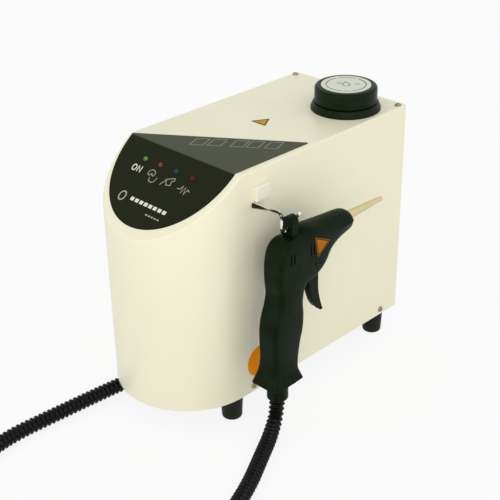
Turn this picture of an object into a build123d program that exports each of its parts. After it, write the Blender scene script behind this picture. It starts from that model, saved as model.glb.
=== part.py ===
"""Steam generator with a hand gun: a sheet-metal casing on four feet, a water tank with a screw cap,
a boiler, and a gun that hangs from a hook on the side and is fed by a ribbed hose.

Millimetres, +Z up, the nose towards -Y, the gun on the +X side, the floor at Z 0.
The origin is the middle of the machine's footprint, gun included. Places on the casing are told from
its middle line (x), from the tip of its nose (y) and from the floor (z).
"""
import math
import os

from build123d import *

# Casing
CASE_W = 180.0
CASE_D = 376.5
CASE_H = 283.0
CASE_T = 1.5
CASE_EDGE_R = 2.0
PANEL_BEND = 93.0
PANEL_DROP = 68.5
SHEET_GAP = 0.3
FINE = 0.01
FLANGE_H = 16.0
PAN_DEPTH = 16.0

# Feet
FOOT_H = 29.3
FOOT_TOP_R = 13.5
FOOT_TIP_R = 12.0
FOOT_EDGE_R = 2.5
FOOT_SIDE = 14.0
FOOT_FRONT_Y = 84.0
FOOT_BACK = 31.0
FOOT_RECESS = 14.0

# Screws: shank radius, head radius, head height
M4_R, M4_HEAD_R, M4_HEAD_H = 2.0, 3.8, 2.2
M5_R, M5_HEAD_R, M5_HEAD_H = 2.5, 4.5, 4.0
M3_R, M3_HEAD_R, M3_HEAD_H = 1.5, 2.8, 1.8
HEAD_DOME = 0.7
HEAD_SOCKET = 0.6
SCREW_GAP = 0.3
TOP_SCREW_SIDE = 6.0
TOP_SCREW_INSET = 8.5
SIDE_SCREW_Z = 7.5
SIDE_SCREW_FRONT_Y = 107.5
SIDE_SCREW_BACK = 32.5
M4_LENGTH = 6.0
M4_NUT_H = 3.0
M5_NUT_R = 4.6
M5_NUT_H = 4.0

# Display on the sloping panel
FILM_T = 0.4
FILM_LEFT = 4.0
FILM_RIGHT = 8.0
FILM_FRONT = 11.0
FILM_TIP_SIDE = 6.5
FILM_TIP_Y = 208.5
FILM_TIP_R = 2.0
LED_R = 3.0
LED_PROUD = 1.6
LED_LIP = 0.4
LED_DOWN = 23.0
LED_X = (-42.3, -16.7, 9.0, 35.2)
LED_NAMES = ("led_power", "led_water", "led_steam", "led_heating")
BOARD_T = 1.6
BOARD_DROP = 6.4
BOARD_W = 112.0
BOARD_H = 30.0
BOARD_EDGE_R = 2.0
BOARD_PLUG_W, BOARD_PLUG_H, BOARD_PLUG_T = 16.0, 10.0, 4.0
BOARD_PLUG_STEP = 37.0
STANDOFF_R = 2.5
STANDOFF_INSET = 4.0

# Control board beside the shelf
BOARD_POST = 6.0
CONTROL_INSET = 11.75
CONTROL_RISE = 13.5
CONTROL_PARTS = 3
CONTROL_STEP = 20.0
CONTROL_PART_W, CONTROL_PART_H, CONTROL_PART_T = 14.0, 18.0, 12.0

# Stickers
STICKER_T = 0.3
DISC_R = 20.0
DISC_Y = 118.0
DISC_Z = 39.0
TOP_MARK_SIDE = 23.5
TOP_MARK_Y = 218.0

# Filler
FILLER_SIDE = 48.7
FILLER_BACK = 56.0
NECK_BORE_R = 25.0
NECK_T = 3.0
NECK_RISE = 16.7
COLLAR_R = 42.5
COLLAR_TOP_R = 39.5
COLLAR_H = 8.6
COLLAR_LIP = 2.0
COLLAR_EDGE_R = 1.2
CAP_R = 37.8
CAP_TOP = 29.0
CAP_EDGE_R = 4.0
CAP_FOOT_R = 1.0
CAP_WALL = 5.0
CAP_GAP = 0.6
GASKET_T = 2.0
FIT_GAP = 0.3
CAP_LABEL_R = 30.0

# Water tank and its shelf
TANK_SIDE = 12.0
TANK_FRONT_Y = 246.0
TANK_BACK_GAP = 17.0
TANK_TOP_GAP = 7.0
TANK_H = 196.0
TANK_T = 3.0
TANK_R = 10.0
SHELF_T = 1.5
STUB_R = 5.0
STUB_LENGTH = 12.0
STUB_INSET = 12.5
SHELF_FOOT = 12.0
SHELF_NUT_ROOM = 2.0

# Pump
PUMP_R = 19.0
PUMP_BAND_T = 2.0
PUMP_BAND_LENGTH = 33.0
PUMP_LENGTH = 66.0
PUMP_ROOM = 3.5
PUMP_POST_W = 20.0
PUMP_FOOT_W = 60.0
PUMP_FOOT_LENGTH = 58.0
PUMP_FOOT_T = 3.0
PUMP_PORT_R = 4.0
PUMP_PORT_LENGTH = 5.0
SUCTION_REACH = 9.0
SUCTION_BEND_R = 8.0

# Boiler
BOILER_Y = 103.0
BOILER_R = 62.0
BOILER_T = 2.0
BOILER_BODY_H = 112.0
BOILER_DOME_H = 18.0
BOILER_LIFT = 34.0
STAND_R = 50.0
STAND_T = 3.0
JACKET_T = 10.0
JACKET_H = 96.0
BOSS_R = 9.0
BOSS_RISE = 2.0
BOSS_RING_R = 41.0
BOSS_ANGLES = (50.0, -50.0, -130.0, 130.0)
ELEMENT_FLANGE_R = 24.0
ELEMENT_FLANGE_T = 6.0
ELEMENT_R = 4.0
ELEMENT_SPREAD = 10.0
ELEMENT_BEND_R = 9.0
ELEMENT_DEPTH = 92.0
ELEMENT_BOLTS = 6
ELEMENT_BOLT_INSET = 4.5
PORT_R = 4.0
FEED_LIFT = 17.0

# Boiler fittings: hexagon radius and height, body radius and height, cap radius and height
SAFETY_VALVE = (8.5, 7.0, 6.0, 16.0, 4.5, 9.0)
PRESSURE_SWITCH = (8.5, 6.0, 5.0, 5.0, 13.0, 14.0)
FITTING_EDGE = 0.8

# Steam valve and pipes
PIPE_R = 4.0
PIPE_BEND_R = 14.0
PIPE_RISE = 30.0
UNION_R = 9.0
UNION_H = 7.0
VALVE_X = -40.0
VALVE_Y = 216.0
VALVE_LIFT = 46.0
VALVE_W = 24.0
VALVE_EDGE = 2.0
VALVE_BODY_H = 30.0
COIL_R = 15.0
COIL_LENGTH = 20.0
COIL_NUT_R = 5.0
COIL_NUT_H = 3.5

# Hose outlet under the tray
SOCKET_R = 11.6
SOCKET_EDGE_R = 0.8
SOCKET_DEPTH = 22.0
SOCKET_AXIS_Z = 13.0
OUTLET_STEM_R = 8.0
OUTLET_NUT_R = 12.0
OUTLET_STEP = 9.0

# Rear panel
SWITCH_X = 38.0
SWITCH_Z = 70.0
SWITCH_W = 21.0
SWITCH_H = 30.0
SWITCH_DEPTH = 18.0
SWITCH_HOLLOW = 9.0
SWITCH_EDGE_R = 1.5
ROCKER_W = 14.0
ROCKER_HALF = 11.2
ROCKER_LIP = 3.6
ROCKER_DIP = 1.6
ROCKER_TILT = 9.0
ROCKER_ROOM = 0.9
ROCKER_PIN_R = 1.2
ROCKER_PIN_W = 16.0
INLET_X = -40.0
INLET_Z = 70.0
INLET_W = 27.0
INLET_H = 20.0
INLET_WALL = 2.0
INLET_FLOOR = 4.0
INLET_EDGE_R = 2.0
INLET_EAR_W = 48.0
INLET_EAR_H = 24.0
INLET_EAR_R = 3.0
INLET_DEPTH = 20.0
INLET_SCREWS = 40.0
INLET_PINS = ((-7.0, -1.5), (7.0, -1.5), (0.0, 2.5))
INLET_PIN_W, INLET_PIN_H = 2.0, 4.0
INLET_PIN_REST = 2.0
BEZEL_T = 2.0
BEZEL_LIP = 1.5
LOUVRE_W = 44.0
LOUVRE_H = 3.0
LOUVRE_BETWEEN = 16.0
LOUVRE_STEP = 8.0
LOUVRE_COUNT = 8
LOUVRE_Z = 215.0

# Hook
HOOK_Y = 112.0
HOOK_WIRE_R = 1.8
HOOK_ROOT_R = 4.0
HOOK_ROOT_LENGTH = 24.0
HOOK_BEND_R = 5.5
HOOK_CROOK_R = 3.2
HOOK_UP = 14.3
HOOK_RISE = 4.2
HOOK_TIP = 17.0
HOOK_SLOPE = 29.0
HOOK_STUD = 9.0
BLOCK_W = 22.5
BLOCK_H = 17.5
BLOCK_T = 5.0
BLOCK_Y = 122.6
BLOCK_EDGE_R = 0.8

# Gun, in its own upright plane: (forwards, up) from the middle of the hanging eye
GUN_X = 131.0
EYE_Y = 125.5
EYE_H = 228.0
GUN_T = 30.0
GUN_EDGE_R = 6.0
GUN_WALL = 3.0
GRIP_FRONT = (
    (-13.5, -12.5), (-19.5, -15.0), (-26.0, -22.5), (-29.8, -37.5), (-30.4, -55.0), (-28.4, -78.0),
    (-31.5, -92.0), (-36.5, -105.5), (-39.0, -121.0), (-38.6, -142.0), (-38.0, -164.0),
)
GRIP_BACK = (
    (1.4, -164.0), (4.5, -148.0), (9.0, -130.0), (10.2, -110.0), (8.9, -91.0), (12.5, -77.0),
    (21.0, -71.5), (31.0, -70.5), (41.0, -65.0), (49.5, -58.5), (55.0, -48.5), (64.0, -41.5), (80.0, -35.8),
)
BARREL_CORNERS = ((92.6, -31.5), (90.5, -11.2), (15.5, -4.0), (6.5, -11.8))
BARREL_RADII = (6.5, 8.5, 7.0, 2.0)
BUTT_T = 40.0
BUTT_DEPTH = 49.0
BUTT_MID = -21.0
BUTT_TOP = -164.0
BUTT_END = -190.0
BUTT_LAP = 5.0
BUTT_STEP = 2.0
BUTT_WAIST = -177.0
BUTT_WAIST_T = 32.0
BUTT_WAIST_DEPTH = 42.0
BUTT_WAIST_R = 6.0
BUTT_EDGE_R = 5.0
EYE_R = 3.5
EYE_T = 15.0
EYE_W = 10.0
EYE_TOP = 11.0
EYE_STEM = 6.0
EYE_BASE = 11.0
EYE_SHOULDER = 1.0
EYE_REST = 0.15
FERRULE_R = 12.4
FERRULE_END = -215.0
FERRULE_FLANGE_R = 14.0
FERRULE_FLANGE_T = 3.0
FERRULE_EDGE_R = 2.0
BUTT_FLOOR_T = 4.0
CHANNEL_R = 9.0
GUN_REACH = 600.0
FERRULE_DEPTH = 17.0
NOZZLE_BASE_R = 5.5
NOZZLE_TIP_R = 2.8
NOZZLE_BORE_R = 1.2
NOZZLE_LENGTH = 63.0
NOZZLE_START = 93.0
NOZZLE_Z = -24.0
SHANK_R = 4.0
SHANK_LENGTH = 13.0
TUBE_R = 3.0
TUBE_GAP = 0.15
TUBE_REST = 2.0
TUBE_BEND_R = 14.0
TUBE_WAY = ((BUTT_MID, -175.0), (-14.0, -60.0), (-12.0, NOZZLE_Z))
SCREW_POST_R = 4.0
SCREW_POSTS = ((-25.0, -62.0), (1.0, -104.0), (-31.0, -150.0), (63.0, -33.5))
SLOT_W = 1.8
SLOT_H = 13.0
SLOTS = ((-14.0, -34.0), (-9.0, -34.0), (17.5, -33.5), (22.5, -33.5))
GUN_MARK = ((23.3, -19.4), (48.0, -31.5), (28.6, -45.5))

# Trigger
TRIGGER_T = 9.0
PIVOT = (31.0, -60.0)
PIVOT_R = 2.0
PIVOT_GAP = 0.08
PIVOT_POST_R = 4.5
TRIGGER_SLOT = (12.0, 47.0, -80.0, -44.5)
SPRING_R = 2.6
SPRING_WIRE_R = 0.4
SPRING_COILS = 6
SPRING_POST_R = 4.0
SPRING_SEAT = (18.0, -41.5)
SWITCH_REACH = 5.5
PLUNGER_R = 1.2
PLUNGER_SEAT = 1.0
PLUNGER_ROOM = 3.0
SWITCH_BOX = (23.0, 43.0, -51.0, -43.0)
SWITCH_T = 6.5
TRIGGER_BOSS_R = 5.5
TRIGGER_EDGE_R = 1.5
ARM_PAST_SPRING = 3.2
ARM_TOP = (SPRING_SEAT[0] - ARM_PAST_SPRING, -56.0)
ARM_HEEL = (ARM_TOP[0], -59.5)
TRIGGER_FRONT = ((41.0, -64.0), (42.5, -78.0), (43.0, -95.3), (46.4, -111.8), (51.0, -125.1))
TRIGGER_TIP = (47.9, -126.5)
TRIGGER_BACK = ((45.6, -124.0), (38.1, -117.5), (29.5, -100.7), (25.7, -84.3), (25.5, -72.0))

# Hose
HOSE_R = 9.25
HOSE_BORE_R = 4.6
HOSE_GAP = 0.2
HOSE_END = 18.5
RIB_PITCH = 6.0
RIB_VALLEY = 1.95
RIB_PROFILE = ((0.0, 0), (0.28, 0), (0.5, 1), (0.78, 1))
BEND_SHARE = 0.45
HOSE_JOIN = 3
HOSE_SPOTS = (
    (131.0, 104.5, 59.3), (131.0, 104.5, 25.3), (145.1, 78.0, 9.5), (164.0, 42.5, 9.5), (190.0, -5.0, 9.5),
    (214.0, -70.0, 9.5), (222.0, -145.0, 9.5), (198.0, -215.0, 9.5), (145.0, -265.0, 9.5), (75.0, -285.0, 9.5),
    (5.0, -265.0, 9.5), (-48.0, -215.0, 9.5), (-72.0, -145.0, 9.5), (-66.0, -60.0, 9.5), (-58.0, 30.0, 9.5),
    (-48.0, 97.0, 9.5), (-40.0, 160.0, 13.0), (-40.0, 207.0, 13.0),
)

# Places that follow from the sizes above
NOSE_R = CASE_W / 2
CASE_TOP = FOOT_H + CASE_H
TRAY_TOP = FOOT_H + CASE_T
FOOT_X = NOSE_R - FOOT_SIDE
FOOT_REAR_Y = CASE_D - FOOT_BACK
TOP_SCREW_X = NOSE_R - TOP_SCREW_SIDE
SIDE_SCREW_Y = (SIDE_SCREW_FRONT_Y, CASE_D - SIDE_SCREW_BACK)
FILM_X = (FILM_LEFT - FILM_RIGHT) / 2
FILM_SEMI_X = NOSE_R - (FILM_LEFT + FILM_RIGHT) / 2
FILM_SEMI_Y = NOSE_R - FILM_FRONT
FILM_TIP_X = NOSE_R - FILM_TIP_SIDE
FILLER_X = NOSE_R - FILLER_SIDE
FILLER_Y = CASE_D - FILLER_BACK
TANK_W = CASE_W - 2 * TANK_SIDE
FOOT_SPOTS = [(x, y) for y in (FOOT_FRONT_Y, FOOT_REAR_Y) for x in (-FOOT_X, FOOT_X)]
FOOT_NAMES = ("foot_front_left", "foot_front_right", "foot_rear_left", "foot_rear_right")
GUN_OUT = GUN_X + BUTT_T / 2
ROCKER_PROUD = (ROCKER_LIP * math.cos(math.radians(ROCKER_TILT))
                + ROCKER_HALF * math.sin(math.radians(ROCKER_TILT)))
MID_X = (NOSE_R + M4_HEAD_H - GUN_OUT) / 2
NOSE_Y = -(CASE_D + ROCKER_PROUD) / 2
PANEL_TILT = math.degrees(math.atan2(PANEL_DROP, PANEL_BEND))
EYE_Z = FOOT_H + EYE_H
EYE_SIDE = EYE_R - HOOK_WIRE_R - EYE_REST


def level(z, x=0.0, y=0.0):
    """A plane lying flat at height z, its origin x from the middle line and y from the nose."""
    return Plane(origin=(MID_X + x, NOSE_Y + y, z))


def upright(x):
    """A plane along the machine, facing +X: its x runs to the rear and its y up."""
    return Plane(origin=(MID_X + x, NOSE_Y, 0), x_dir=(0, 1, 0), z_dir=(1, 0, 0))


def across(y, x=0.0, z=0.0):
    """A plane across the machine, facing the nose: its x runs to +X and its y up."""
    return Plane(origin=(MID_X + x, NOSE_Y + y, z), x_dir=(1, 0, 0), z_dir=(0, -1, 0))


def place(x, y, z):
    """A point x from the middle line, y from the nose and z from the floor."""
    return Vector(MID_X + x, NOSE_Y + y, z)


PANEL = Plane(
    origin=place(0, PANEL_BEND, CASE_TOP),
    x_dir=(1, 0, 0),
    z_dir=(0, -math.sin(math.radians(PANEL_TILT)), math.cos(math.radians(PANEL_TILT))),
)
GUN = Plane(origin=place(GUN_X, EYE_Y, EYE_Z), x_dir=(0, 1, 0), z_dir=(1, 0, 0))
GUN_CROSS = Plane(origin=place(GUN_X, EYE_Y, EYE_Z), x_dir=(1, 0, 0), z_dir=(0, -1, 0))


def keep(piece, label):
    """Labels a finished piece and writes it to its own file."""
    piece.part.label = label
    export_step(piece.part, f"parts/{label}.step")


def casing_block(inset, rear=CASE_D):
    """The casing's closed form, moved inwards by inset on its sides, top and panel."""
    radius = NOSE_R - inset
    drop = inset / math.cos(math.radians(PANEL_TILT))
    slope = PANEL_DROP / PANEL_BEND
    low_y, high_y = -CASE_W, CASE_W
    with BuildPart() as block:
        with BuildSketch(level(FOOT_H)):
            with BuildLine():
                ThreePointArc((-radius, NOSE_R), (0, inset), (radius, NOSE_R))
                Polyline((radius, NOSE_R), (radius, rear), (-radius, rear), (-radius, NOSE_R))
            make_face()
        extrude(amount=CASE_H - inset)
        with BuildSketch(upright(0)):
            with BuildLine():
                low_z = CASE_TOP - drop + slope * (low_y - PANEL_BEND)
                high_z = CASE_TOP - drop + slope * (high_y - PANEL_BEND)
                Polyline((low_y, low_z), (high_y, high_z), (low_y, high_z), close=True)
            make_face()
        extrude(amount=CASE_W, both=True, mode=Mode.SUBTRACT)
    return block.part


def screw(plane, shank_r, head_r, head_h, length):
    """A button-headed screw whose head stands on the plane and whose shank goes down through it."""
    with BuildPart() as one:
        with BuildSketch(plane):
            Circle(shank_r)
        extrude(amount=-length)
        with BuildSketch(plane):
            Circle(head_r)
        extrude(amount=head_h)
        top_edge = one.edges().filter_by(GeomType.CIRCLE).sort_by(
            lambda e: (e.center() - plane.origin).dot(plane.z_dir))[-1]
        fillet(top_edge, head_h * HEAD_DOME)
        with BuildSketch(plane.offset(head_h)):
            RegularPolygon(shank_r * HEAD_SOCKET, 6)
        extrude(amount=-head_h * HEAD_SOCKET, mode=Mode.SUBTRACT)
    return one.part


def pipe(points, radius, bend_r):
    """A solid round bar along straight runs joined by bends."""
    with BuildPart() as bar:
        with BuildLine() as route:
            FilletPolyline(*points, radius=bend_r)
        start = route.line
        with BuildSketch(Plane(origin=start @ 0, z_dir=start % 0)):
            Circle(radius)
        sweep()
    return bar.part


os.makedirs("parts", exist_ok=True)

# Casing cover: top, sides, nose and sloping panel in one sheet
outer_block = casing_block(0.0)
inner_block = casing_block(CASE_T, rear=CASE_D + CASE_T)
with BuildPart() as casing_cover:
    add(outer_block)
    rim = casing_cover.edges().filter_by(lambda e: e.center().Z > FOOT_H + CASE_H - PANEL_DROP)
    rim = rim.filter_by(lambda e: e.center().Y < NOSE_Y + CASE_D - 1)
    rim = rim.filter_by(lambda e: abs(e.center().X - MID_X) > 1 or e.geom_type != GeomType.LINE)
    rim = rim.filter_by(lambda e: abs(e.tangent_at(0.5).Z) < 0.95)
    fillet(rim, CASE_EDGE_R)
    add(inner_block, mode=Mode.SUBTRACT)
    with Locations(PANEL):
        with Locations([(x, -LED_DOWN) for x in LED_X]):
            Cylinder(LED_R + FIT_GAP / 2, 8 * CASE_T, mode=Mode.SUBTRACT)
    with Locations(level(CASE_TOP)):
        with Locations((FILLER_X, FILLER_Y)):
            Cylinder(NECK_BORE_R + NECK_T + SHEET_GAP, 4 * CASE_T, mode=Mode.SUBTRACT)
        with Locations([(side * TOP_SCREW_X, CASE_D - TOP_SCREW_INSET) for side in (-1, 1)]):
            Cylinder(M4_R + SCREW_GAP / 2, 4 * CASE_T, mode=Mode.SUBTRACT)
    with Locations(upright(0)):
        with Locations([(y, FOOT_H + SIDE_SCREW_Z) for y in SIDE_SCREW_Y]):
            Cylinder(M4_R + SCREW_GAP / 2, CASE_W + 2, mode=Mode.SUBTRACT)
    with Locations(upright(NOSE_R)):
        with Locations((HOOK_Y, EYE_Z + HOOK_UP)):
            Cylinder(M4_R + SCREW_GAP / 2, 4 * CASE_T, mode=Mode.SUBTRACT)
keep(casing_cover, "casing_cover")

# Base tray: the floor of the casing, its flange turned up inside the cover
tray_out = CASE_T + SHEET_GAP
with BuildPart() as base_tray:
    with BuildSketch(level(FOOT_H)):
        with BuildLine():
            tray_r = NOSE_R - tray_out
            ThreePointArc((-tray_r, NOSE_R), (0, tray_out), (tray_r, NOSE_R))
            Polyline((tray_r, NOSE_R), (tray_r, CASE_D), (-tray_r, CASE_D), (-tray_r, NOSE_R))
        make_face()
    extrude(amount=FLANGE_H)
    with BuildSketch(level(TRAY_TOP)):
        with BuildLine():
            inner_r = NOSE_R - tray_out - CASE_T
            back = CASE_D + CASE_T
            ThreePointArc((-inner_r, NOSE_R), (0, tray_out + CASE_T), (inner_r, NOSE_R))
            Polyline((inner_r, NOSE_R), (inner_r, back), (-inner_r, back), (-inner_r, NOSE_R))
        make_face()
    extrude(amount=FLANGE_H, mode=Mode.SUBTRACT)
    with BuildSketch(level(TRAY_TOP, y=CASE_D - PAN_DEPTH / 2)):
        Rectangle(CASE_W, PAN_DEPTH + 2 * SHEET_GAP)
    extrude(amount=FLANGE_H, mode=Mode.SUBTRACT)
    with Locations(level(FOOT_H)):
        with Locations(FOOT_SPOTS):
            Cylinder(M5_R + SCREW_GAP / 2, 4 * CASE_T, mode=Mode.SUBTRACT)
        with Locations((VALVE_X, VALVE_Y)):
            Cylinder(OUTLET_STEM_R + SHEET_GAP, 4 * CASE_T, mode=Mode.SUBTRACT)
    with Locations(upright(0)):
        with Locations([(y, FOOT_H + SIDE_SCREW_Z) for y in SIDE_SCREW_Y]):
            Cylinder(M4_R, CASE_W, mode=Mode.SUBTRACT)
keep(base_tray, "base_tray")

# Rear panel: a shallow pan closing the back, with the switch, the mains inlet and louvres
pan_w = CASE_W - 2 * (CASE_T + SHEET_GAP)
pan_h = CASE_H - 2 * CASE_T - SHEET_GAP
with BuildPart() as rear_panel:
    with BuildSketch(across(CASE_D, z=TRAY_TOP + pan_h / 2)):
        Rectangle(pan_w, pan_h)
    extrude(amount=PAN_DEPTH)
    with BuildSketch(across(CASE_D - CASE_T, z=TRAY_TOP + pan_h / 2)):
        Rectangle(pan_w - 2 * CASE_T, pan_h - 2 * CASE_T)
    extrude(amount=PAN_DEPTH, mode=Mode.SUBTRACT)
    with Locations(across(CASE_D)):
        with Locations((SWITCH_X, SWITCH_Z)):
            Box(SWITCH_W - 2 * BEZEL_LIP, SWITCH_H - 2 * BEZEL_LIP, 4 * CASE_T, mode=Mode.SUBTRACT)
        with Locations((INLET_X, INLET_Z)):
            Box(INLET_W + SHEET_GAP, INLET_H + SHEET_GAP, 4 * CASE_T, mode=Mode.SUBTRACT)
        with Locations((0, LOUVRE_Z)):
            with GridLocations(LOUVRE_W + LOUVRE_BETWEEN, LOUVRE_STEP, 2, LOUVRE_COUNT):
                Box(LOUVRE_W, LOUVRE_H, 4 * CASE_T, mode=Mode.SUBTRACT)
    with Locations(level(CASE_TOP)):
        with Locations([(side * TOP_SCREW_X, CASE_D - TOP_SCREW_INSET) for side in (-1, 1)]):
            Cylinder(M4_R, 8 * CASE_T, mode=Mode.SUBTRACT)
keep(rear_panel, "rear_panel")

# Screws that hold the cover, two on top at the back and two low on each side
with BuildPart() as cover_top_screws:
    for side in (-1, 1):
        spot = level(CASE_TOP, side * TOP_SCREW_X, CASE_D - TOP_SCREW_INSET)
        add(screw(spot, M4_R, M4_HEAD_R, M4_HEAD_H, M4_LENGTH))
keep(cover_top_screws, "cover_top_screws")

with BuildPart() as cover_side_screws:
    for side in (-1, 1):
        for y in SIDE_SCREW_Y:
            spot = Plane(origin=place(side * NOSE_R, y, FOOT_H + SIDE_SCREW_Z), z_dir=(side, 0, 0))
            add(screw(spot, M4_R, M4_HEAD_R, M4_HEAD_H, M4_LENGTH))
keep(cover_side_screws, "cover_side_screws")

# Feet, each a tapered rubber buffer with its screw in a recess from below
for foot_name, (x, y) in zip(FOOT_NAMES, FOOT_SPOTS):
    with BuildPart() as foot:
        with BuildSketch(level(0, x, y)):
            Circle(FOOT_TIP_R)
        with BuildSketch(level(FOOT_H, x, y)):
            Circle(FOOT_TOP_R)
        loft()
        fillet(foot.edges().sort_by(Axis.Z)[0], FOOT_EDGE_R)
        with BuildSketch(level(0, x, y)):
            Circle(M5_HEAD_R + SCREW_GAP)
        extrude(amount=FOOT_RECESS, mode=Mode.SUBTRACT)
        with BuildSketch(level(0, x, y)):
            Circle(M5_R + SCREW_GAP / 2)
        extrude(amount=FOOT_H, mode=Mode.SUBTRACT)
    keep(foot, foot_name)

with BuildPart() as foot_screws:
    for x, y in FOOT_SPOTS:
        top = Plane(origin=place(x, y, FOOT_RECESS), z_dir=(0, 0, -1))
        add(screw(top, M5_R, M5_HEAD_R, M5_HEAD_H, FOOT_H - FOOT_RECESS + CASE_T + M5_NUT_H))
        with BuildSketch(level(TRAY_TOP, x, y)):
            RegularPolygon(M5_NUT_R, 6)
        extrude(amount=M5_NUT_H)
keep(foot_screws, "foot_screws")

# Display film, bent over the edge between the top and the sloping panel
with BuildPart() as display_film:
    with BuildSketch(level(FOOT_H)) as film_outline:
        with Locations((FILM_X, NOSE_R)):
            Ellipse(FILM_SEMI_X, FILM_SEMI_Y)
        with Locations((0, CASE_D + PANEL_BEND)):
            Rectangle(2 * CASE_W, 2 * CASE_D, mode=Mode.SUBTRACT)
        with BuildLine():
            Polyline(
                (FILM_X - FILM_SEMI_X, PANEL_BEND),
                (FILM_X + FILM_SEMI_X, PANEL_BEND),
                (FILM_TIP_X, FILM_TIP_Y),
                close=True,
            )
        make_face()
        fillet(film_outline.vertices().sort_by(Axis.Y)[-1], FILM_TIP_R)
    extrude(amount=2 * CASE_H)
    add(casing_block(-FILM_T), mode=Mode.INTERSECT)
    add(outer_block, mode=Mode.SUBTRACT)
    with Locations(PANEL):
        with Locations([(x, -LED_DOWN) for x in LED_X]):
            Cylinder(LED_R + FIT_GAP / 2, 8 * CASE_T, mode=Mode.SUBTRACT)
keep(display_film, "display_film")

# Signal lamps, each a round-headed lamp with a foot on the display board
for led_name, x in zip(LED_NAMES, LED_X):
    with BuildPart() as led:
        with BuildSketch(PANEL.offset(-CASE_T - BOARD_DROP)):
            with Locations((x, -LED_DOWN)):
                Circle(LED_R)
        extrude(amount=BOARD_DROP + CASE_T + FILM_T + LED_PROUD)
        top_edge = led.edges().sort_by(lambda e: e.center().dot(PANEL.z_dir))[-1]
        fillet(top_edge, LED_PROUD)
        with BuildSketch(PANEL.offset(-CASE_T - BOARD_DROP)):
            with Locations((x, -LED_DOWN)):
                Circle(LED_R + LED_LIP)
        extrude(amount=LED_LIP * 2)
    keep(led, led_name)

with BuildPart() as display_board:
    with BuildSketch(PANEL.offset(-CASE_T - BOARD_DROP)):
        with Locations((0, -LED_DOWN)):
            RectangleRounded(BOARD_W, BOARD_H, BOARD_EDGE_R)
    extrude(amount=-BOARD_T)
    with BuildSketch(PANEL.offset(-CASE_T)):
        with Locations((0, -LED_DOWN)):
            with GridLocations(BOARD_W - 2 * STANDOFF_INSET, BOARD_H - 2 * STANDOFF_INSET, 2, 2):
                Circle(STANDOFF_R)
    extrude(amount=-BOARD_DROP)
    with BuildSketch(PANEL.offset(-CASE_T - BOARD_DROP - BOARD_T)):
        with Locations((0, -LED_DOWN)):
            with GridLocations(BOARD_PLUG_STEP, 1, 2, 1):
                Rectangle(BOARD_PLUG_W, BOARD_PLUG_H)
    extrude(amount=-BOARD_PLUG_T)
keep(display_board, "display_board")

# Plain stickers on the side and on top
with BuildPart() as side_disc:
    with BuildSketch(upright(NOSE_R)):
        with Locations((DISC_Y, FOOT_H + DISC_Z)):
            Circle(DISC_R)
    extrude(amount=STICKER_T)
keep(side_disc, "side_disc")

with BuildPart() as top_mark:
    with BuildSketch(level(CASE_TOP)):
        with Locations((0, TOP_MARK_Y)):
            RegularPolygon(TOP_MARK_SIDE / math.sqrt(3), 3, rotation=90)
    extrude(amount=STICKER_T)
keep(top_mark, "top_mark")

# Filler: a fixed collar, the tank's neck inside it, and a screw cap with its gasket and label
with BuildPart() as filler_collar:
    with BuildSketch(level(CASE_TOP, FILLER_X, FILLER_Y)):
        Circle(COLLAR_R)
    extrude(amount=COLLAR_LIP)
    with BuildSketch(level(CASE_TOP + COLLAR_LIP, FILLER_X, FILLER_Y)):
        Circle(COLLAR_R)
    with BuildSketch(level(CASE_TOP + COLLAR_H, FILLER_X, FILLER_Y)):
        Circle(COLLAR_TOP_R)
    loft()
    fillet(filler_collar.edges().sort_by(Axis.Z)[-1], COLLAR_EDGE_R)
    with BuildSketch(level(CASE_TOP, FILLER_X, FILLER_Y)):
        Circle(NECK_BORE_R + NECK_T + SHEET_GAP)
    extrude(amount=COLLAR_H, mode=Mode.SUBTRACT)
keep(filler_collar, "filler_collar")

neck_top = CASE_TOP + NECK_RISE
with BuildPart() as cap_gasket:
    with BuildSketch(level(neck_top + FIT_GAP, FILLER_X, FILLER_Y)):
        Circle(NECK_BORE_R + NECK_T)
        Circle(NECK_BORE_R - NECK_T, mode=Mode.SUBTRACT)
    extrude(amount=GASKET_T)
keep(cap_gasket, "cap_gasket")

cap_bottom = CASE_TOP + COLLAR_H + CAP_GAP
cap_ceiling = neck_top + GASKET_T + 2 * FIT_GAP
with BuildPart() as filler_cap:
    with BuildSketch(level(cap_bottom, FILLER_X, FILLER_Y)):
        Circle(CAP_R)
    extrude(amount=CASE_TOP + CAP_TOP - cap_bottom)
    fillet(filler_cap.edges().sort_by(Axis.Z)[-1], CAP_EDGE_R)
    fillet(filler_cap.edges().sort_by(Axis.Z)[0], CAP_FOOT_R)
    with BuildSketch(level(cap_bottom, FILLER_X, FILLER_Y)):
        Circle(NECK_BORE_R + NECK_T + FIT_GAP)
    extrude(amount=cap_ceiling - cap_bottom, mode=Mode.SUBTRACT)
    with BuildSketch(level(cap_bottom, FILLER_X, FILLER_Y)):
        Circle(CAP_R - CAP_WALL)
        Circle(NECK_BORE_R + NECK_T + FIT_GAP + CAP_WALL / 2, mode=Mode.SUBTRACT)
    extrude(amount=cap_ceiling - cap_bottom, mode=Mode.SUBTRACT)
keep(filler_cap, "filler_cap")

with BuildPart() as cap_label:
    with BuildSketch(level(CASE_TOP + CAP_TOP, FILLER_X, FILLER_Y)):
        Circle(CAP_LABEL_R)
    extrude(amount=STICKER_T)
keep(cap_label, "cap_label")

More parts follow.
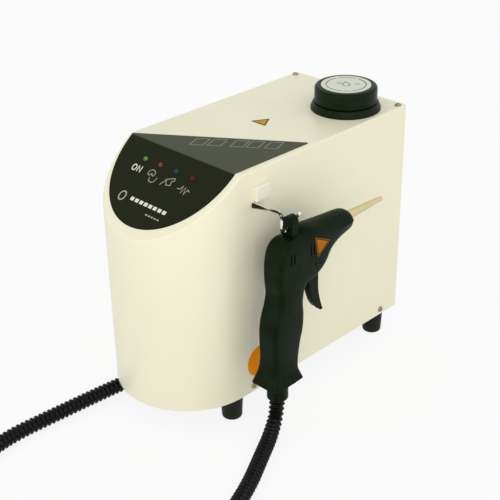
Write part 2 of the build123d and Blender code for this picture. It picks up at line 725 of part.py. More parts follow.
# Water tank: a hollow moulding with a filler neck on top and an outlet stub below
tank_top = CASE_TOP - CASE_T - TANK_TOP_GAP
tank_base = tank_top - TANK_H
tank_back = CASE_D - TANK_BACK_GAP
tank_depth = tank_back - TANK_FRONT_Y
tank_y = (tank_back + TANK_FRONT_Y) / 2
stub_y = tank_back - STUB_INSET
with BuildPart() as water_tank:
    with BuildSketch(level(tank_base, 0, tank_y)):
        RectangleRounded(TANK_W, tank_depth, TANK_R)
    extrude(amount=TANK_H)
    fillet(water_tank.faces().sort_by(Axis.Z)[-1].edges(), TANK_R / 2)
    with BuildSketch(level(tank_top - TANK_R, FILLER_X, FILLER_Y)):
        Circle(NECK_BORE_R + NECK_T)
    extrude(amount=neck_top - tank_top + TANK_R)
    with BuildSketch(level(tank_base - STUB_LENGTH, 0, stub_y)):
        Circle(STUB_R)
    extrude(amount=STUB_LENGTH)
    with BuildSketch(level(tank_base + TANK_T, 0, tank_y)):
        RectangleRounded(TANK_W - 2 * TANK_T, tank_depth - 2 * TANK_T, TANK_R - TANK_T)
    extrude(amount=TANK_H - 2 * TANK_T, mode=Mode.SUBTRACT)
    with BuildSketch(level(tank_top - 2 * TANK_T, FILLER_X, FILLER_Y)):
        Circle(NECK_BORE_R)
    extrude(amount=NECK_RISE + CASE_T + TANK_TOP_GAP + 2 * TANK_T, mode=Mode.SUBTRACT)
    with BuildSketch(level(tank_base - STUB_LENGTH, 0, stub_y)):
        Circle(STUB_R / 2)
    extrude(amount=STUB_LENGTH + TANK_T, mode=Mode.SUBTRACT)
keep(water_tank, "water_tank")

# Shelf under the tank: a folded sheet standing on the tray
shelf_w = TANK_W + 2 * SHELF_T
shelf_h = tank_base - TRAY_TOP
with BuildPart() as tank_shelf:
    with BuildSketch(level(TRAY_TOP, 0, tank_y)):
        Rectangle(shelf_w, tank_depth)
    extrude(amount=shelf_h)
    with BuildSketch(level(TRAY_TOP, 0, tank_y)):
        Rectangle(shelf_w - 2 * SHELF_T, 2 * tank_depth)
    extrude(amount=shelf_h - SHELF_T, mode=Mode.SUBTRACT)
    with BuildSketch(level(TRAY_TOP, 0, tank_y)):
        for side in (-1, 1):
            with Locations((side * (shelf_w / 2 - SHELF_FOOT / 2), 0)):
                Rectangle(SHELF_FOOT, tank_depth)
    extrude(amount=SHELF_T)
    with Locations(level(tank_base, 0, stub_y)):
        Cylinder(STUB_R + SHEET_GAP, 4 * SHELF_T, mode=Mode.SUBTRACT)
    with Locations(level(TRAY_TOP, 0, 0)):
        with Locations([(x, FOOT_REAR_Y) for x in (-FOOT_X, FOOT_X)]):
            Cylinder(M5_NUT_R + SHELF_NUT_ROOM, 8 * M5_NUT_H, mode=Mode.SUBTRACT)
keep(tank_shelf, "tank_shelf")

# Pump: under the shelf, fed from the tank's stub, pushing water forwards into the boiler
pump_z = tank_base - SHELF_T - PUMP_ROOM - PUMP_R - PUMP_BAND_T
pump_back = stub_y - SUCTION_REACH - PUMP_PORT_LENGTH
pump_front = pump_back - PUMP_LENGTH
pump_y = (pump_back + pump_front) / 2
pump_axis_h = pump_z - TRAY_TOP
with BuildPart() as pump:
    with BuildSketch(across(pump_back, z=pump_z)):
        Circle(PUMP_R)
    extrude(amount=PUMP_LENGTH)
    with BuildSketch(across(pump_y + PUMP_BAND_LENGTH / 2, z=pump_z)):
        Circle(PUMP_R + PUMP_BAND_T)
    extrude(amount=PUMP_BAND_LENGTH)
    with BuildSketch(across(pump_back + PUMP_PORT_LENGTH, z=pump_z)):
        Circle(PUMP_PORT_R)
    extrude(amount=PUMP_LENGTH + 2 * PUMP_PORT_LENGTH)
    with BuildSketch(across(pump_y + PUMP_BAND_LENGTH / 2, z=TRAY_TOP + pump_axis_h / 2)):
        Rectangle(PUMP_POST_W, pump_axis_h)
    extrude(amount=PUMP_BAND_LENGTH)
    with BuildSketch(level(TRAY_TOP, 0, pump_y)):
        RectangleRounded(PUMP_FOOT_W, PUMP_FOOT_LENGTH, PUMP_FOOT_T)
    extrude(amount=PUMP_FOOT_T)
keep(pump, "pump")

with BuildPart() as suction_hose:
    add(pipe(
        [
            place(0, stub_y, tank_base - STUB_LENGTH),
            place(0, stub_y, pump_z),
            place(0, pump_back + PUMP_PORT_LENGTH, pump_z),
        ],
        PUMP_PORT_R,
        SUCTION_BEND_R,
    ))
keep(suction_hose, "suction_hose")

# Boiler: a domed vessel on a ring stand, inside an insulating jacket
boiler_base = TRAY_TOP + BOILER_LIFT
boiler_top = boiler_base + BOILER_BODY_H
boiler_apex = boiler_top + BOILER_DOME_H
boss_top = boiler_apex + BOSS_RISE
feed_z = boiler_base + FEED_LIFT


def vessel(inset):
    """The boiler's closed form, moved inwards by inset."""
    radius = BOILER_R - inset
    dome = BOILER_DOME_H - inset
    with BuildPart() as form:
        with BuildSketch(across(BOILER_Y)):
            with BuildLine():
                low = EllipticalCenterArc((0, boiler_base), radius, dome, -90, arc_size=90)
                high = EllipticalCenterArc((0, boiler_top), radius, dome, 0, arc_size=90)
                Line(low @ 1, high @ 0)
                Line(high @ 1, low @ 0)
            make_face()
        revolve(axis=Axis(place(0, BOILER_Y, 0), (0, 0, 1)))
    return form.part


boiler_form = vessel(0.0)
boss_spots = [
    (BOSS_RING_R * math.cos(math.radians(a)), BOILER_Y + BOSS_RING_R * math.sin(math.radians(a)))
    for a in BOSS_ANGLES
]
with BuildPart() as boiler_shell:
    add(boiler_form)
    with BuildSketch(level(boiler_apex - BOILER_DOME_H * 0.6)):
        with Locations(boss_spots):
            Circle(BOSS_R)
        with Locations((0, BOILER_Y)):
            Circle(ELEMENT_FLANGE_R)
    extrude(amount=boss_top - boiler_apex + BOILER_DOME_H * 0.6)
    with BuildSketch(across(BOILER_Y, z=feed_z)):
        Circle(BOSS_R)
    extrude(amount=-(BOILER_R + JACKET_T))
    add(vessel(BOILER_T), mode=Mode.SUBTRACT)
    with Locations(level(boss_top)):
        with Locations(boss_spots):
            Cylinder(PORT_R, 3 * BOILER_DOME_H, mode=Mode.SUBTRACT)
        with Locations((0, BOILER_Y)):
            Cylinder(ELEMENT_FLANGE_R - 2 * ELEMENT_BOLT_INSET, 3 * BOILER_DOME_H, mode=Mode.SUBTRACT)
            with PolarLocations(ELEMENT_FLANGE_R - ELEMENT_BOLT_INSET, ELEMENT_BOLTS):
                Cylinder(M4_R, 2 * ELEMENT_FLANGE_T, mode=Mode.SUBTRACT)
    with BuildSketch(across(BOILER_Y, z=feed_z)):
        Circle(PORT_R)
    extrude(amount=-(BOILER_R + 2 * JACKET_T), mode=Mode.SUBTRACT)
keep(boiler_shell, "boiler_shell")

with BuildPart() as boiler_stand:
    with BuildSketch(level(TRAY_TOP, 0, BOILER_Y)):
        Circle(STAND_R)
        Circle(STAND_R - STAND_T, mode=Mode.SUBTRACT)
    extrude(amount=BOILER_LIFT)
    add(boiler_form, mode=Mode.SUBTRACT)
keep(boiler_stand, "boiler_stand")

with BuildPart() as boiler_jacket:
    with BuildSketch(level(boiler_base + (BOILER_BODY_H - JACKET_H) / 2, 0, BOILER_Y)):
        Circle(BOILER_R + JACKET_T)
        Circle(BOILER_R, mode=Mode.SUBTRACT)
    extrude(amount=JACKET_H)
    with BuildSketch(across(BOILER_Y, z=feed_z)):
        Circle(BOSS_R + SHEET_GAP)
    extrude(amount=-(BOILER_R + 2 * JACKET_T), mode=Mode.SUBTRACT)
keep(boiler_jacket, "boiler_jacket")

union_back = BOILER_Y + BOILER_R + JACKET_T + UNION_H
with BuildPart() as feed_pipe:
    with BuildSketch(across(pump_front - PUMP_PORT_LENGTH, z=pump_z)):
        Circle(PORT_R)
    with BuildSketch(across(union_back, z=feed_z)):
        Circle(PORT_R)
    loft(ruled=True)
    with BuildSketch(across(union_back, z=feed_z)):
        RegularPolygon(UNION_R, 6)
    extrude(amount=UNION_H)
keep(feed_pipe, "feed_pipe")

with BuildPart() as heating_element:
    element_top = boss_top + ELEMENT_FLANGE_T + PORT_R
    element_low = boss_top - ELEMENT_DEPTH
    add(pipe(
        [
            place(-ELEMENT_SPREAD, BOILER_Y, element_top),
            place(-ELEMENT_SPREAD, BOILER_Y, element_low),
            place(ELEMENT_SPREAD, BOILER_Y, element_low),
            place(ELEMENT_SPREAD, BOILER_Y, element_top),
        ],
        ELEMENT_R,
        ELEMENT_BEND_R,
    ))
keep(heating_element, "heating_element")

with BuildPart() as element_flange:
    with BuildSketch(level(boss_top, 0, BOILER_Y)):
        Circle(ELEMENT_FLANGE_R)
        with Locations((-ELEMENT_SPREAD, 0), (ELEMENT_SPREAD, 0)):
            Circle(ELEMENT_R, mode=Mode.SUBTRACT)
        with PolarLocations(ELEMENT_FLANGE_R - ELEMENT_BOLT_INSET, ELEMENT_BOLTS):
            Circle(M4_R + SCREW_GAP / 2, mode=Mode.SUBTRACT)
    extrude(amount=ELEMENT_FLANGE_T)
keep(element_flange, "element_flange")

with BuildPart() as element_bolts:
    bolt_plane = level(boss_top + ELEMENT_FLANGE_T, 0, BOILER_Y)
    with BuildSketch(bolt_plane):
        with PolarLocations(ELEMENT_FLANGE_R - ELEMENT_BOLT_INSET, ELEMENT_BOLTS):
            Circle(M4_R)
    extrude(amount=-2 * ELEMENT_FLANGE_T + SCREW_GAP)
    with BuildSketch(bolt_plane):
        with PolarLocations(ELEMENT_FLANGE_R - ELEMENT_BOLT_INSET, ELEMENT_BOLTS):
            RegularPolygon(M4_HEAD_R, 6)
    extrude(amount=M4_HEAD_H)
keep(element_bolts, "element_bolts")


def fitting(spot, hex_r, hex_h, body_r, body_h, cap_r, cap_h):
    """A boiler fitting: a hexagon on the boss with a body and a cap turned in one with it."""
    with BuildPart() as one:
        with BuildSketch(level(boss_top, *spot)):
            RegularPolygon(hex_r, 6)
        extrude(amount=hex_h)
        with BuildSketch(level(boss_top + hex_h, *spot)):
            Circle(body_r)
        extrude(amount=body_h)
        with BuildSketch(level(boss_top + hex_h + body_h, *spot)):
            Circle(cap_r)
        extrude(amount=cap_h)
        chamfer(one.edges().sort_by(Axis.Z)[-1], FITTING_EDGE)
    return one


safety_valve = fitting(boss_spots[0], *SAFETY_VALVE)
keep(safety_valve, "safety_valve")
pressure_switch = fitting(boss_spots[1], *PRESSURE_SWITCH)
keep(pressure_switch, "pressure_switch")

# Steam valve over the hose outlet, its coil beside it, and the steam pipe from the boiler
valve_base = TRAY_TOP + VALVE_LIFT
valve_top = valve_base + VALVE_BODY_H
with BuildPart() as steam_valve:
    with BuildSketch(level(valve_base, VALVE_X, VALVE_Y)):
        Rectangle(VALVE_W, VALVE_W)
    extrude(amount=VALVE_BODY_H)
    chamfer(steam_valve.edges().filter_by(Axis.Z), VALVE_EDGE)
    with BuildSketch(level(valve_top, VALVE_X, VALVE_Y)):
        RegularPolygon(UNION_R, 6)
    extrude(amount=UNION_H)
keep(steam_valve, "steam_valve")

with BuildPart() as valve_coil:
    coil_plane = Plane(
        origin=place(VALVE_X - VALVE_W / 2, VALVE_Y, valve_base + VALVE_BODY_H / 2), z_dir=(-1, 0, 0)
    )
    with BuildSketch(coil_plane):
        Circle(COIL_R)
    extrude(amount=COIL_LENGTH)
    with BuildSketch(coil_plane.offset(COIL_LENGTH)):
        RegularPolygon(COIL_NUT_R, 6)
    extrude(amount=COIL_NUT_H)
keep(valve_coil, "valve_coil")

with BuildPart() as steam_pipe:
    pipe_x, pipe_y = boss_spots[3]
    pipe_top = boss_top + PIPE_RISE
    add(pipe(
        [
            place(pipe_x, pipe_y, boss_top),
            place(pipe_x, pipe_y, pipe_top),
            place(VALVE_X, VALVE_Y, pipe_top),
            place(VALVE_X, VALVE_Y, valve_top + UNION_H),
        ],
        PIPE_R,
        PIPE_BEND_R,
    ))
    with BuildSketch(level(boss_top, *boss_spots[3])):
        RegularPolygon(UNION_R, 6)
    extrude(amount=UNION_H)
keep(steam_pipe, "steam_pipe")

# Hose outlet: an elbow through the tray, its socket facing the nose
socket_mouth = VALVE_Y - OUTLET_STEP - SOCKET_DEPTH
with BuildPart() as outlet_elbow:
    with BuildSketch(level(SOCKET_AXIS_Z, VALVE_X, VALVE_Y)):
        Circle(OUTLET_STEM_R)
    extrude(amount=valve_base - SOCKET_AXIS_Z)
    with BuildSketch(across(VALVE_Y + OUTLET_STEM_R, VALVE_X, SOCKET_AXIS_Z)):
        Circle(SOCKET_R)
    extrude(amount=VALVE_Y + OUTLET_STEM_R - socket_mouth)
    fillet(outlet_elbow.edges().filter_by(GeomType.CIRCLE).sort_by(Axis.Y)[0], SOCKET_EDGE_R)
    with BuildSketch(level(TRAY_TOP, VALVE_X, VALVE_Y)):
        RegularPolygon(OUTLET_NUT_R, 6)
    extrude(amount=UNION_H)
    with BuildSketch(across(VALVE_Y - OUTLET_STEP, VALVE_X, SOCKET_AXIS_Z)):
        Circle(HOSE_R + FIT_GAP / 2)
    extrude(amount=SOCKET_DEPTH, mode=Mode.SUBTRACT)
    with BuildSketch(across(VALVE_Y, VALVE_X, SOCKET_AXIS_Z)):
        Circle(PORT_R)
    extrude(amount=OUTLET_STEP, mode=Mode.SUBTRACT)
    with BuildSketch(level(SOCKET_AXIS_Z, VALVE_X, VALVE_Y)):
        Circle(PORT_R)
    extrude(amount=valve_base - SOCKET_AXIS_Z, mode=Mode.SUBTRACT)
keep(outlet_elbow, "outlet_elbow")

# Control board, on posts against the shelf's left leg
with BuildPart() as control_board:
    board_x = -shelf_w / 2 + SHELF_T
    board_z = (TRAY_TOP + tank_base) / 2
    board_w = tank_depth - 2 * CONTROL_INSET
    board_h = shelf_h - 2 * CONTROL_RISE
    with BuildSketch(upright(board_x + BOARD_POST)):
        with Locations((tank_y, board_z)):
            Rectangle(board_w, board_h)
    extrude(amount=BOARD_T)
    with BuildSketch(upright(board_x)):
        with Locations((tank_y, board_z)):
            with GridLocations(board_w - 2 * STANDOFF_INSET, board_h - 2 * STANDOFF_INSET, 2, 2):
                Circle(STANDOFF_R)
    extrude(amount=BOARD_POST)
    with BuildSketch(upright(board_x + BOARD_POST + BOARD_T)):
        with Locations((tank_y, board_z)):
            with GridLocations(CONTROL_STEP, 1, CONTROL_PARTS, 1):
                Rectangle(CONTROL_PART_W, CONTROL_PART_H)
    extrude(amount=CONTROL_PART_T)
keep(control_board, "control_board")

# Power switch: a frame through the rear panel, and a rocker that tips on its pin in it
rocker_pivot = place(SWITCH_X, CASE_D, SWITCH_Z)
rocker_plane = Plane(origin=rocker_pivot, x_dir=(0, 1, 0), z_dir=(1, 0, 0))
with BuildPart() as switch_frame:
    with BuildSketch(across(CASE_D + BEZEL_T, SWITCH_X, SWITCH_Z)):
        RectangleRounded(SWITCH_W, SWITCH_H, SWITCH_EDGE_R)
    extrude(amount=BEZEL_T)
    with BuildSketch(across(CASE_D, SWITCH_X, SWITCH_Z)):
        Rectangle(SWITCH_W - 2 * BEZEL_LIP - SHEET_GAP, SWITCH_H - 2 * BEZEL_LIP - SHEET_GAP)
    extrude(amount=SWITCH_DEPTH)
    with BuildSketch(across(CASE_D + BEZEL_T, SWITCH_X, SWITCH_Z)):
        Rectangle(ROCKER_W + 2 * FIT_GAP, 2 * (ROCKER_HALF + ROCKER_ROOM))
    extrude(amount=SWITCH_HOLLOW, mode=Mode.SUBTRACT)
    with BuildSketch(rocker_plane):
        Circle(ROCKER_PIN_R + PIVOT_GAP)
    extrude(amount=ROCKER_PIN_W / 2 + PIVOT_GAP, both=True, mode=Mode.SUBTRACT)
keep(switch_frame, "switch_frame")

with BuildPart() as switch_rocker:
    with BuildSketch(rocker_plane):
        with BuildLine():
            Polyline(
                (-ROCKER_LIP, -ROCKER_HALF),
                (ROCKER_LIP, -ROCKER_HALF),
                (ROCKER_DIP, 0),
                (ROCKER_LIP, ROCKER_HALF),
                (-ROCKER_LIP, ROCKER_HALF),
                close=True,
            )
        make_face()
    extrude(amount=ROCKER_W / 2, both=True)
    with BuildSketch(rocker_plane):
        Circle(ROCKER_PIN_R)
    extrude(amount=ROCKER_PIN_W / 2, both=True)
switch_rocker.part = switch_rocker.part.rotate(Axis(rocker_pivot, (1, 0, 0)), -ROCKER_TILT)
keep(switch_rocker, "switch_rocker")

# Mains inlet: a socket with three pins, held by its ears
with BuildPart() as power_inlet:
    with BuildSketch(across(CASE_D + BEZEL_T, INLET_X, INLET_Z)):
        RectangleRounded(INLET_EAR_W, INLET_EAR_H, INLET_EAR_R)
    extrude(amount=BEZEL_T)
    with BuildSketch(across(CASE_D, INLET_X, INLET_Z)):
        Rectangle(INLET_W, INLET_H)
    extrude(amount=INLET_DEPTH)
    with BuildSketch(across(CASE_D + BEZEL_T, INLET_X, INLET_Z)):
        RectangleRounded(INLET_W - 2 * INLET_WALL, INLET_H - 2 * INLET_WALL, INLET_EDGE_R)
    extrude(amount=BEZEL_T + INLET_DEPTH - INLET_FLOOR, mode=Mode.SUBTRACT)
    with BuildSketch(across(CASE_D - INLET_PIN_REST, INLET_X, INLET_Z)):
        with Locations(INLET_PINS):
            Rectangle(INLET_PIN_W, INLET_PIN_H)
    extrude(amount=INLET_DEPTH - INLET_PIN_REST - INLET_FLOOR / 2)
    with Locations(across(CASE_D, INLET_X, INLET_Z)):
        with GridLocations(INLET_SCREWS, 1, 2, 1):
            Cylinder(M3_R + SCREW_GAP / 2, 4 * BEZEL_T, mode=Mode.SUBTRACT)
keep(power_inlet, "power_inlet")

# Hook: a chromed wire with a thick root on the side of the casing, and a cream block above it
root_z = EYE_Z + HOOK_UP
crook_y = HOOK_Y - EYE_Y
slope = math.radians(HOOK_SLOPE)
tip = GUN.from_local_coords((HOOK_TIP * math.cos(slope), HOOK_TIP * math.sin(slope)))
reach = GUN_X - NOSE_R
with BuildPart() as gun_hook:
    with BuildLine():
        FilletPolyline(
            place(NOSE_R, HOOK_Y, root_z),
            place(GUN_X, HOOK_Y, root_z + HOOK_RISE),
            GUN.from_local_coords((crook_y, crook_y * math.tan(slope))),
            tip,
            radius=[HOOK_BEND_R, HOOK_CROOK_R],
        )
    with BuildSketch(upright(NOSE_R)):
        with Locations((HOOK_Y, root_z)):
            Circle(HOOK_WIRE_R)
    sweep()
    with Locations(tip):
        Sphere(HOOK_WIRE_R)
    with BuildSketch(upright(NOSE_R)):
        with Locations((HOOK_Y, root_z)):
            Circle(HOOK_ROOT_R)
    with BuildSketch(upright(NOSE_R + HOOK_ROOT_LENGTH)):
        with Locations((HOOK_Y, root_z + HOOK_RISE * HOOK_ROOT_LENGTH / reach)):
            Circle(HOOK_WIRE_R)
    loft()
    with BuildSketch(upright(NOSE_R)):
        with Locations((HOOK_Y, root_z)):
            Circle(M4_R)
    extrude(amount=-HOOK_STUD)
    with BuildSketch(upright(NOSE_R - CASE_T)):
        with Locations((HOOK_Y, root_z)):
            RegularPolygon(M4_HEAD_R, 6)
    extrude(amount=-M4_NUT_H)
keep(gun_hook, "gun_hook")

with BuildPart() as hook_block:
    with BuildSketch(upright(NOSE_R)):
        with Locations((BLOCK_Y, root_z + HOOK_ROOT_R + SHEET_GAP + BLOCK_H / 2)):
            RectangleRounded(BLOCK_W, BLOCK_H, BLOCK_EDGE_R)
    extrude(amount=BLOCK_T)
    chamfer(hook_block.faces().sort_by(Axis.X)[-1].edges(), BLOCK_EDGE_R)
keep(hook_block, "hook_block")


def gun_sketch(inset):
    """The gun's side outline without its butt, its corners moved inwards by inset. Used inside a part block."""
    corners = [Vector(*spot) for spot in GRIP_FRONT + GRIP_BACK + BARREL_CORNERS]
    moved, turns = [], []
    for index, corner in enumerate(corners):
        before = (corner - corners[index - 1]).normalized()
        after = (corners[(index + 1) % len(corners)] - corner).normalized()
        inwards = (before + after).rotate(Axis.Z, 90)
        moved.append(corner + inwards * (inset / (1 + before.dot(after))))
        turns.append(math.copysign(1, before.cross(after).Z))
    fronts = moved[:len(GRIP_FRONT)]
    backs = moved[len(GRIP_FRONT):len(GRIP_FRONT) + len(GRIP_BACK)]
    barrel = moved[-len(BARREL_CORNERS):]
    radii = [radius - turn * inset for radius, turn in zip(BARREL_RADII, turns[-len(BARREL_CORNERS):])]
    with BuildSketch(GUN) as outline:
        with BuildLine():
            front = Spline(*fronts, tangents=(fronts[0] - barrel[-1], (0.05, -1)), tangent_scalars=(1, 1))
            Line(front @ 1, backs[0])
            back = Spline(*backs, tangents=((0.15, 1), barrel[0] - backs[-1]), tangent_scalars=(1, 1))
            FilletPolyline(back @ 1, *barrel, front @ 0, radius=radii)
        make_face()
    return outline.sketch_local


gun_outline = gun_sketch(0.0)
gun_hollow = gun_sketch(GUN_WALL)
butt_mid = (GRIP_FRONT[-1][0] + GRIP_BACK[0][0]) / 2
grip_depth = GRIP_BACK[0][0] - GRIP_FRONT[-1][0]


def flat_in_gun(up, forwards=0.0):
    """A flat plane in the gun, up and forwards from the middle of its eye."""
    return level(EYE_Z + up, GUN_X, EYE_Y + forwards)


nozzle_axis = Plane(origin=GUN.from_local_coords((NOZZLE_START, NOZZLE_Z)), x_dir=(1, 0, 0), z_dir=(0, 1, 0))
with BuildPart() as gun_body:
    with BuildSketch(GUN):
        add(gun_outline)
    extrude(amount=GUN_T / 2, both=True)
    long_edges = gun_body.edges().filter_by(lambda e: abs(abs(e.center().X - MID_X - GUN_X) - GUN_T / 2) < FINE)
    long_edges = long_edges.filter_by(lambda e: e.center().Z > EYE_Z + BUTT_TOP + 0.1)
    fillet(long_edges, GUN_EDGE_R)
    with BuildSketch(flat_in_gun(BUTT_TOP + BUTT_LAP, butt_mid)):
        RectangleRounded(GUN_T - BUTT_STEP, grip_depth - BUTT_STEP, GUN_EDGE_R)
    with BuildSketch(flat_in_gun(BUTT_WAIST, BUTT_MID)):
        RectangleRounded(BUTT_WAIST_T, BUTT_WAIST_DEPTH, BUTT_WAIST_R)
    with BuildSketch(flat_in_gun(BUTT_END, BUTT_MID)):
        RectangleRounded(BUTT_T, BUTT_DEPTH, BUTT_EDGE_R)
    loft()
    with BuildSketch(GUN):
        add(gun_hollow)
        with Locations(SCREW_POSTS):
            Circle(SCREW_POST_R, mode=Mode.SUBTRACT)
        with Locations(PIVOT):
            Circle(PIVOT_POST_R, mode=Mode.SUBTRACT)
        with Locations(SPRING_SEAT):
            Rectangle(2 * SPRING_POST_R, SPRING_POST_R, mode=Mode.SUBTRACT)
    extrude(amount=GUN_T / 2 - GUN_WALL, both=True, mode=Mode.SUBTRACT)
    with BuildSketch(flat_in_gun(BUTT_END + BUTT_FLOOR_T, BUTT_MID)):
        Circle(FERRULE_FLANGE_R + SHEET_GAP)
    extrude(amount=FERRULE_FLANGE_T + SHEET_GAP, mode=Mode.SUBTRACT)
    with BuildSketch(flat_in_gun(BUTT_END + BUTT_FLOOR_T, BUTT_MID)):
        Circle(CHANNEL_R)
    extrude(amount=BUTT_TOP - BUTT_END, mode=Mode.SUBTRACT)
    with BuildSketch(flat_in_gun(BUTT_END, BUTT_MID)):
        Circle(FERRULE_R + SHEET_GAP)
    extrude(amount=BUTT_FLOOR_T, mode=Mode.SUBTRACT)
    with BuildSketch(GUN):
        with Locations(((TRIGGER_SLOT[0] + TRIGGER_SLOT[1]) / 2, (TRIGGER_SLOT[2] + TRIGGER_SLOT[3]) / 2)):
            Rectangle(TRIGGER_SLOT[1] - TRIGGER_SLOT[0], TRIGGER_SLOT[3] - TRIGGER_SLOT[2])
    extrude(amount=TRIGGER_T / 2 + FIT_GAP, both=True, mode=Mode.SUBTRACT)
    with BuildSketch(GUN):
        with Locations(SLOTS):
            Rectangle(SLOT_W, SLOT_H)
    extrude(amount=GUN_T, both=True, mode=Mode.SUBTRACT)
    with BuildSketch(GUN):
        with Locations(PIVOT):
            Circle(PIVOT_R)
    extrude(amount=GUN_T / 2 - GUN_WALL / 2, both=True, mode=Mode.SUBTRACT)
    with BuildSketch(GUN):
        Rectangle(EYE_W - 2 * EYE_SHOULDER, 2 * EYE_BASE + 2 * EYE_STEM)
    extrude(amount=EYE_T / 2, both=True, mode=Mode.SUBTRACT)
    with BuildSketch(nozzle_axis):
        Circle(SHANK_R)
    extrude(amount=-SHANK_LENGTH, mode=Mode.SUBTRACT)
    with BuildSketch(GUN):
        with Locations(SCREW_POSTS):
            Circle(M3_R)
    extrude(amount=GUN_T / 2 - GUN_WALL, both=True, mode=Mode.SUBTRACT)
    with BuildSketch(GUN.offset(-GUN_T / 2)):
        with Locations(SCREW_POSTS):
            Circle(M3_HEAD_R + SCREW_GAP)
    extrude(amount=GUN_WALL, mode=Mode.SUBTRACT)

# The gun's two shells, each half of that body
for side, name in ((1, "gun_shell_right"), (-1, "gun_shell_left")):
    with BuildPart() as shell:
        add(gun_body.part)
        with BuildSketch(GUN):
            Rectangle(GUN_REACH, GUN_REACH)
        extrude(amount=-side * BUTT_T, mode=Mode.SUBTRACT)
    keep(shell, name)

with BuildPart() as gun_screws:
    for spot in SCREW_POSTS:
        seat = Plane(origin=GUN.from_local_coords(spot), x_dir=(0, 1, 0), z_dir=(-1, 0, 0))
        add(screw(seat.offset(GUN_T / 2 - GUN_WALL), M3_R, M3_HEAD_R, M3_HEAD_H, GUN_T - 2 * GUN_WALL))
keep(gun_screws, "gun_screws")

# Hanging eye on top of the gun, bored along the slope of the hook
with BuildPart() as hanging_eye:
    with BuildSketch(GUN_CROSS):
        with Locations((0, (EYE_TOP - EYE_T / 2 - EYE_BASE) / 2)):
            Rectangle(EYE_T, EYE_TOP - EYE_T / 2 + EYE_BASE)
        with Locations((0, EYE_TOP - EYE_T / 2)):
            Circle(EYE_T / 2)
    extrude(amount=EYE_W / 2, both=True)
    with BuildSketch(GUN_CROSS):
        with Locations((0, -EYE_BASE - EYE_STEM / 2)):
            Rectangle(EYE_T, EYE_STEM)
    extrude(amount=EYE_W / 2 - EYE_SHOULDER, both=True)
    eye_middle = GUN.from_local_coords((EYE_SIDE * math.sin(slope), -EYE_SIDE * math.cos(slope)))
    with BuildSketch(Plane(origin=eye_middle, x_dir=(1, 0, 0), z_dir=(0, math.cos(slope), math.sin(slope)))):
        Circle(EYE_R)
    extrude(amount=EYE_W, both=True, mode=Mode.SUBTRACT)
keep(hanging_eye, "hanging_eye")

# Ferrule that holds the hose in the butt
with BuildPart() as gun_ferrule:
    with BuildSketch(flat_in_gun(BUTT_END + BUTT_FLOOR_T, BUTT_MID)):
        Circle(FERRULE_R)
    extrude(amount=FERRULE_END - BUTT_END - BUTT_FLOOR_T)
    fillet(gun_ferrule.edges().sort_by(Axis.Z)[0], FERRULE_EDGE_R)
    with BuildSketch(flat_in_gun(BUTT_END + BUTT_FLOOR_T, BUTT_MID)):
        Circle(FERRULE_FLANGE_R)
    extrude(amount=FERRULE_FLANGE_T)
    with BuildSketch(flat_in_gun(FERRULE_END, BUTT_MID)):
        Circle(HOSE_R + HOSE_GAP)
    extrude(amount=FERRULE_DEPTH, mode=Mode.SUBTRACT)
    with BuildSketch(flat_in_gun(FERRULE_END, BUTT_MID)):
        Circle(TUBE_R + TUBE_GAP)
    extrude(amount=BUTT_END - FERRULE_END + BUTT_FLOOR_T + FERRULE_FLANGE_T, mode=Mode.SUBTRACT)
keep(gun_ferrule, "gun_ferrule")

# Tube inside the gun, from the ferrule to the nozzle
tube_foot = (BUTT_MID, FERRULE_END + FERRULE_DEPTH + TUBE_REST)
tube_head = (NOZZLE_START - SHANK_LENGTH, NOZZLE_Z)
tube_spots = [GUN.from_local_coords(spot) for spot in (tube_foot, *TUBE_WAY, tube_head)]
with BuildPart() as gun_tube:
    add(pipe(tube_spots, TUBE_R, TUBE_BEND_R))
keep(gun_tube, "gun_tube")

# Nozzle: a tapering spout with a shank in the barrel
with BuildPart() as nozzle:
    with BuildSketch(nozzle_axis):
        Circle(NOZZLE_BASE_R)
    with BuildSketch(nozzle_axis.offset(NOZZLE_LENGTH)):
        Circle(NOZZLE_TIP_R)
    loft()
    with BuildSketch(nozzle_axis):
        Circle(SHANK_R)
    extrude(amount=-SHANK_LENGTH)
    with BuildSketch(nozzle_axis.offset(-SHANK_LENGTH)):
        Circle(NOZZLE_BORE_R)
    extrude(amount=NOZZLE_LENGTH + SHANK_LENGTH, mode=Mode.SUBTRACT)
keep(nozzle, "nozzle")

# Trigger on its pin, with its return spring and the switch that it presses
with BuildPart() as trigger:
    with BuildSketch(GUN):
        with BuildLine():
            Polyline(TRIGGER_BACK[-1], ARM_HEEL, ARM_TOP, PIVOT, TRIGGER_FRONT[0])
            front = Spline(*TRIGGER_FRONT)
            back = Spline(*TRIGGER_BACK)
            ThreePointArc(front @ 1, TRIGGER_TIP, back @ 0)
        make_face()
        with Locations(PIVOT):
            Circle(TRIGGER_BOSS_R)
    extrude(amount=TRIGGER_T / 2, both=True)
    side_edges = trigger.edges().filter_by(lambda e: e.center().Z < GUN.from_local_coords(TRIGGER_BACK[-1]).Z)
    side_edges = side_edges.filter_by(lambda e: abs(abs(e.center().X - MID_X - GUN_X) - TRIGGER_T / 2) < FINE)
    fillet(side_edges, TRIGGER_EDGE_R)
    with BuildSketch(GUN):
        with Locations(PIVOT):
            Circle(PIVOT_R + PIVOT_GAP)
    extrude(amount=TRIGGER_T, both=True, mode=Mode.SUBTRACT)
keep(trigger, "trigger")

with BuildPart() as trigger_pin:
    with BuildSketch(GUN):
        with Locations(PIVOT):
            Circle(PIVOT_R)
    extrude(amount=(GUN_T - GUN_WALL) / 2, both=True)
keep(trigger_pin, "trigger_pin")

